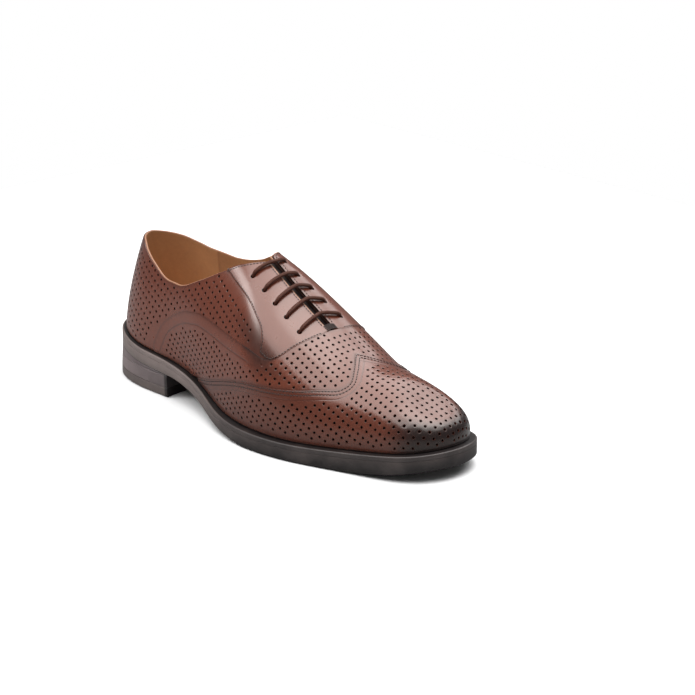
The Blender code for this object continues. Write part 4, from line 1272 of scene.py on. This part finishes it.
def addSole():
    r, clear = soleLook["round"], soleLook["clear"]
    turns = np.linspace(0, math.pi / 2, soleLook["roundSteps"])
    arc = [(r * (1 - math.sin(a)), r * (1 - math.cos(a))) for a in turns]
    rings = [soleRing(tuck, soleBottom) for tuck in soleLook["underside"]]
    rings += [soleRing(t, lambda x, d=d: soleBottom(x) + d) for t, d in arc]
    rings += [soleRing(0.0, lambda x: weltFloor(x) - soleLook["topEdge"]),
              soleRing(clear, lambda x: weltFloor(x) - clear),
              soleRing(soleLook["topTuck"], lambda x: weltFloor(x) - clear)]
    points, faces = loft(rings)
    shade = soleShade(points)
    piece = makePiece("outsoleEdge", points, faces, ["soleRubber"], shades={"shade": shade}, sharp=40)
    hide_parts("outsole")
    rings = [soleRing(weltLook["tuck"], weltFloor, np.zeros_like), soleRing(clear, weltFloor),
             soleRing(0.0, lambda x: weltFloor(x) + weltLook["lowEdge"])]
    rings += [soleRing(t, lambda x, d=d: soleTop(x) - d) for d, t in arc]
    rings += [soleRing(r + weltLook["topEdge"], soleTop), soleRing(weltLook["tuck"], soleTop, np.zeros_like)]
    points, faces = loft(rings, capped=False)
    shade = soleShade(points)
    # the welt's upper face, in the upper's shadow, is painted black
    shade[-2 * len(soleAlong):] = 1.0  # the welt's upper face
    piece = makePiece("weltStrip", points, faces, ["soleRubber"], shades={"shade": shade}, sharp=40)
    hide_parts("welt")


def heelRing(reach, height):
    breastX = heelLook["breast"]
    u = np.linspace(-heelLook["reach"], heelLook["reach"], heelLook["columns"])
    foot = section(u)[:, :2]
    flat = foot + outward(u) * np.reshape(reach(foot[:, 0]) if callable(reach) else reach, (-1, 1))
    inside = np.flatnonzero(flat[:, 0] < breastX)
    ends = [a + (breastX - flat[a, 0]) / (flat[a + 1, 0] - flat[a, 0]) for a in (inside[0] - 1, inside[-1])]
    marks = np.linspace(*ends, heelLook["sideColumns"])
    side = np.stack([np.interp(marks, np.arange(len(u)), flat[:, i]) for i in range(2)], -1)
    way = np.linspace(0, 1, heelLook["breastColumns"])[1:-1, None]
    breast = side[-1] + (side[0] - side[-1]) * way
    breast[:, 0] -= heelLook["hollow"] * (1 - (2 * way[:, 0] - 1) ** 4)
    ring = np.vstack([side, breast])
    z = height(ring[:, 0]) if callable(height) else np.full(len(ring), float(height))
    return np.column_stack([ring, z])


def stack(name, rings, finish, node, shadeOf):
    size, levels = len(rings[0]), len(rings)
    points = np.vstack(rings)
    ends = np.arange(len(points)).reshape(levels, size)[[0, -1]].tolist()
    faces = ringFaces(levels, size, (3, 0, 1, 2)) + [ends[0], ends[1][::-1]]
    onBreast = points[:, 0] > heelLook["breast"] - heelLook["hollow"] - 0.3
    # the breast, in shadow under the arch, is painted black
    shade = np.where(onBreast, heelTintAndShade["breast"], shadeOf(points))
    piece = makePiece(name, points, faces, [finish], shades={"shade": shade}, sharp=35)
    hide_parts(node)


def blockShade(points):
    low = np.where(points[:, 2] < heelLook["lift"], 0.0, heelTintAndShade["upper"])
    return low + heelTintAndShade["front"] * smooth(points[:, 0], *heelTintAndShade["frontReach"])


def topPieceShade(points):
    return np.full(len(points), heelTintAndShade["topPiece"])


def addHeel():
    flare, lift, foot = heelLook["flare"], heelLook["lift"], heelLook["topPiece"]
    rings = [heelRing(flare - tuck, foot + rise) for tuck, rise in heelLook["foot"]]
    for step, tuck in heelLook["groove"]:
        z = lift + step
        share = (z - foot) / heelLook["taper"]
        rings.append(heelRing(lambda x, s=share, t=tuck: flare + (soleReach(x) - flare) * s - t, z))
    for tuck, drop in heelLook["top"]:
        rings.append(heelRing(lambda x, t=tuck: soleReach(x) - t, lambda x, d=drop: soleBottom(x) - d))
    stack("heelStack", rings, "heelRubber", "heel_block", blockShade)
    steps = ((0.5, 0.0), (0.1, 0.3), (0.0, 0.7), (0.0, foot - 0.4), (0.25, foot - 0.05))  # tuck, height
    rings = [heelRing(flare - tuck, height) for tuck, height in steps]
    stack("heelTopPiece", rings, "soleRubber", "heel_top_piece", topPieceShade)


def addInsole():
    tuck, rise = insoleLook["tuck"], insoleLook["rise"]
    rings = [soleRing(tuck, weltFloor, np.zeros_like)]
    for t, d in insoleLook["rings"]:
        rings.append(soleRing(tuck + t, lambda x, d=d: featherZ(x) + rise - d, np.zeros_like))
    points, faces = loft(rings)
    shade = np.full(len(points), insoleLook["shade"])
    piece = makePiece("insoleSheet", points, faces, ["liningLeather"], shades={"shade": shade}, sharp=50)
    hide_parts("insole")


addSole()
addHeel()
addInsole()
print("sole ready")

# One lace: down one side under the facing, then across at each pair of eyelets, up to the top one
laceLook = {"radius": 1.22, "thin": 1.0, "arch": 0.4, "seat": 0.95, "clear": 0.3, "hidden": -2.4,
            "flat": 0.32, "wide": 1.7, "sides": 14, "spacing": 0.8, "soften": 2}
laceRun = {"leadGirth": 0.765, "leadEnd": 2.0, "leadSteps": 9, "barFrom": 0.05, "barSteps": 13,
           "underGirth": 0.015, "underSteps": 6}


def addLace():
    bars = list(laceRows.values())[::-1]
    r, thin = laceLook["radius"], laceLook["thin"]
    line, normals, wide, high = [], [], [], []

    def put(u, girth, lift, halfWide, halfHigh):
        u = np.mod(u, roundAlong)
        line.append(offLast(np.array(u), np.array(girth), np.array(lift)))
        normals.append(lastNormal(np.array(u), np.array(girth)))
        wide.append(halfWide)
        high.append(halfHigh)

    flatRun = (laceLook["hidden"], laceLook["wide"], laceLook["flat"])
    over = laceLook["seat"] + r + laceLook["clear"]
    # up through an eyelet: girth past it, lift, half width, half height
    eyelet = ((-0.012, -1.9, 1.1, 0.7), (0.0, 0.2, thin, thin), (0.012, laceLook["seat"] + 0.8, thin, thin),
              (0.035, over, r, r))
    for u in np.linspace(bars[-1][0], bars[0][0] - laceRun["leadEnd"], laceRun["leadSteps"]):
        put(u, laceRun["leadGirth"], *flatRun)
    for number, (along, lateral, medial) in enumerate(bars):
        start, end = (lateral, medial) if number % 2 == 0 else (medial, lateral)
        side = 1 if number % 2 == 0 else -1
        for past, *run in eyelet:
            put(along * side, start + past, *run)
        first, last = start + laceRun["barFrom"], end + laceRun["barFrom"]
        for way in np.linspace(0, 1, laceRun["barSteps"])[1:-1]:
            rising = way <= 0.5
            girth = first + (1 - first) * 2 * way if rising else 1 + (last - 1) * (2 * way - 1)
            bow = laceLook["arch"] * math.sin(math.pi * way)
            put(along * side if rising else -along * side, girth, over + bow, r, r)
        for past, *run in eyelet[::-1]:
            put(-along * side, end + past, *run)
        if number < len(bars) - 1:
            for u in np.linspace(along, bars[number + 1][0], laceRun["underSteps"])[1:-1]:
                put(-u * side, end - laceRun["underGirth"], *flatRun)
    line, normals = np.array(line), np.array(normals)
    steps = np.concatenate([[0.0], np.cumsum(np.linalg.norm(np.diff(line, axis=0), axis=1))])
    marks = np.arange(0, steps[-1], laceLook["spacing"])
    path = np.stack([np.interp(marks, steps, line[:, i]) for i in range(3)], -1)
    upward = unit(np.stack([np.interp(marks, steps, normals[:, i]) for i in range(3)], -1))
    widths, heights = np.interp(marks, steps, wide), np.interp(marks, steps, high)
    for _ in range(laceLook["soften"]):
        path[1:-1] = (path[:-2] + 2 * path[1:-1] + path[2:]) / 4
    points, faces = tube(path, upward, widths, heights, laceLook["sides"])
    along = np.repeat(marks, laceLook["sides"])
    turn = np.tile(np.arange(laceLook["sides"]) / laceLook["sides"], len(marks))
    piece = makePiece("lace", points, faces, ["laceCord"], shades={"along": along, "turn": turn})
    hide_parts("lace_bar_1", "lace_bar_2", "lace_bar_3", "lace_bar_4", "lace_bar_5")
    print("lace", round(steps[-1]), "mm")


addLace()

# Floor, light and camera
studio = {"floor": 1.15, "floorDrop": 0.0004, "floorColours": ((0.84, 0.84, 0.84, 1), (0.86, 0.86, 0.86, 1)),
          "floorGrain": 3.0, "floorRough": 0.6, "floorInReflections": (0.19, 0.19, 0.19, 1), "world": 0.17,
          "backdrop": 1.0}
# each light faces straight down: place, size, power in watts
lights = {"softbox": ((0.0, -0.05, 1.3), (1.6, 2.9), 50.0), "front": ((0.75, 0.25, 1.28), (1.3, 1.1), 9.5),
          "rear": ((-1.2, -1.2, 1.3), (0.8, 0.8), 17.0), "far": ((-0.1, 1.75, 1.1), (1.5, 0.9), 11.0)}
view = {"azimuth": 47.836, "elevation": 19.013, "place": (1.11631, -0.95276, 0.55222), "lens": 127.02,
        "sensor": 36.0}


def addFloor():
    tree, shader = nodesOf("studioFloor")
    noise = add(tree, "TexNoise", (), Scale=studio["floorGrain"]).outputs["Fac"]
    # white to the camera and to diffuse light, dim grey in glossy rays: painted shade on the floor's
    # reflections in the leather
    seen = tree.nodes.new("ShaderNodeLightPath").outputs["Is Glossy Ray"]
    colour = blend(tree, seen, blend(tree, noise, *studio["floorColours"]), studio["floorInReflections"])
    feed(tree, shader.inputs, {"Base Color": colour, "Roughness": studio["floorRough"]})
    half = studio["floor"] / 2
    mesh = bpy.data.meshes.new("floor")
    corners = [(-half, -half, 0), (half, -half, 0), (half, half, 0), (-half, half, 0)]
    mesh.from_pydata(corners, [], [(0, 1, 2, 3)])
    mesh.materials.append(finishes["studioFloor"])
    floor = bpy.data.objects.new("floor", mesh)
    bpy.context.scene.collection.objects.link(floor)
    floor.location.z = -studio["floorDrop"]


def addLight(name, place, size, power):
    lamp = bpy.data.lights.new(name, "AREA")
    lamp.shape = "RECTANGLE"
    lamp.size, lamp.size_y = size
    lamp.energy = power
    item = bpy.data.objects.new(name, lamp)
    item.location = place
    item.rotation_euler = Vector((0, 0, 1)).to_track_quat("Z", "Y").to_euler()
    item.visible_camera = False
    bpy.context.scene.collection.objects.link(item)


def addStudio():
    world = bpy.data.worlds.new("studio")
    world.use_nodes = True
    tree = world.node_tree
    seen = tree.nodes.new("ShaderNodeLightPath").outputs["Is Camera Ray"]
    level = add(tree, "MapRange", (), i0=seen, i3=studio["world"], i4=studio["backdrop"]).outputs[0]
    feed(tree, tree.nodes["Background"].inputs, {"Color": (1, 1, 1, 1), "Strength": level})
    bpy.context.scene.world = world
    bpy.context.scene.view_settings.view_transform = "Standard"
    for name, light in lights.items():
        addLight(name, *light)
    azimuth, elevation = math.radians(view["azimuth"]), math.radians(view["elevation"])
    back = Vector((math.sin(azimuth) * math.cos(elevation), -math.cos(azimuth) * math.cos(elevation),
                   math.sin(elevation)))
    camera = bpy.data.cameras.new("camera")
    camera.lens = view["lens"]
    camera.sensor_width = view["sensor"]
    item = bpy.data.objects.new("camera", camera)
    item.location = view["place"]
    item.rotation_euler = back.to_track_quat("Z", "Y").to_euler()
    bpy.context.scene.collection.objects.link(item)
    bpy.context.scene.camera = item


addFloor()
addStudio()
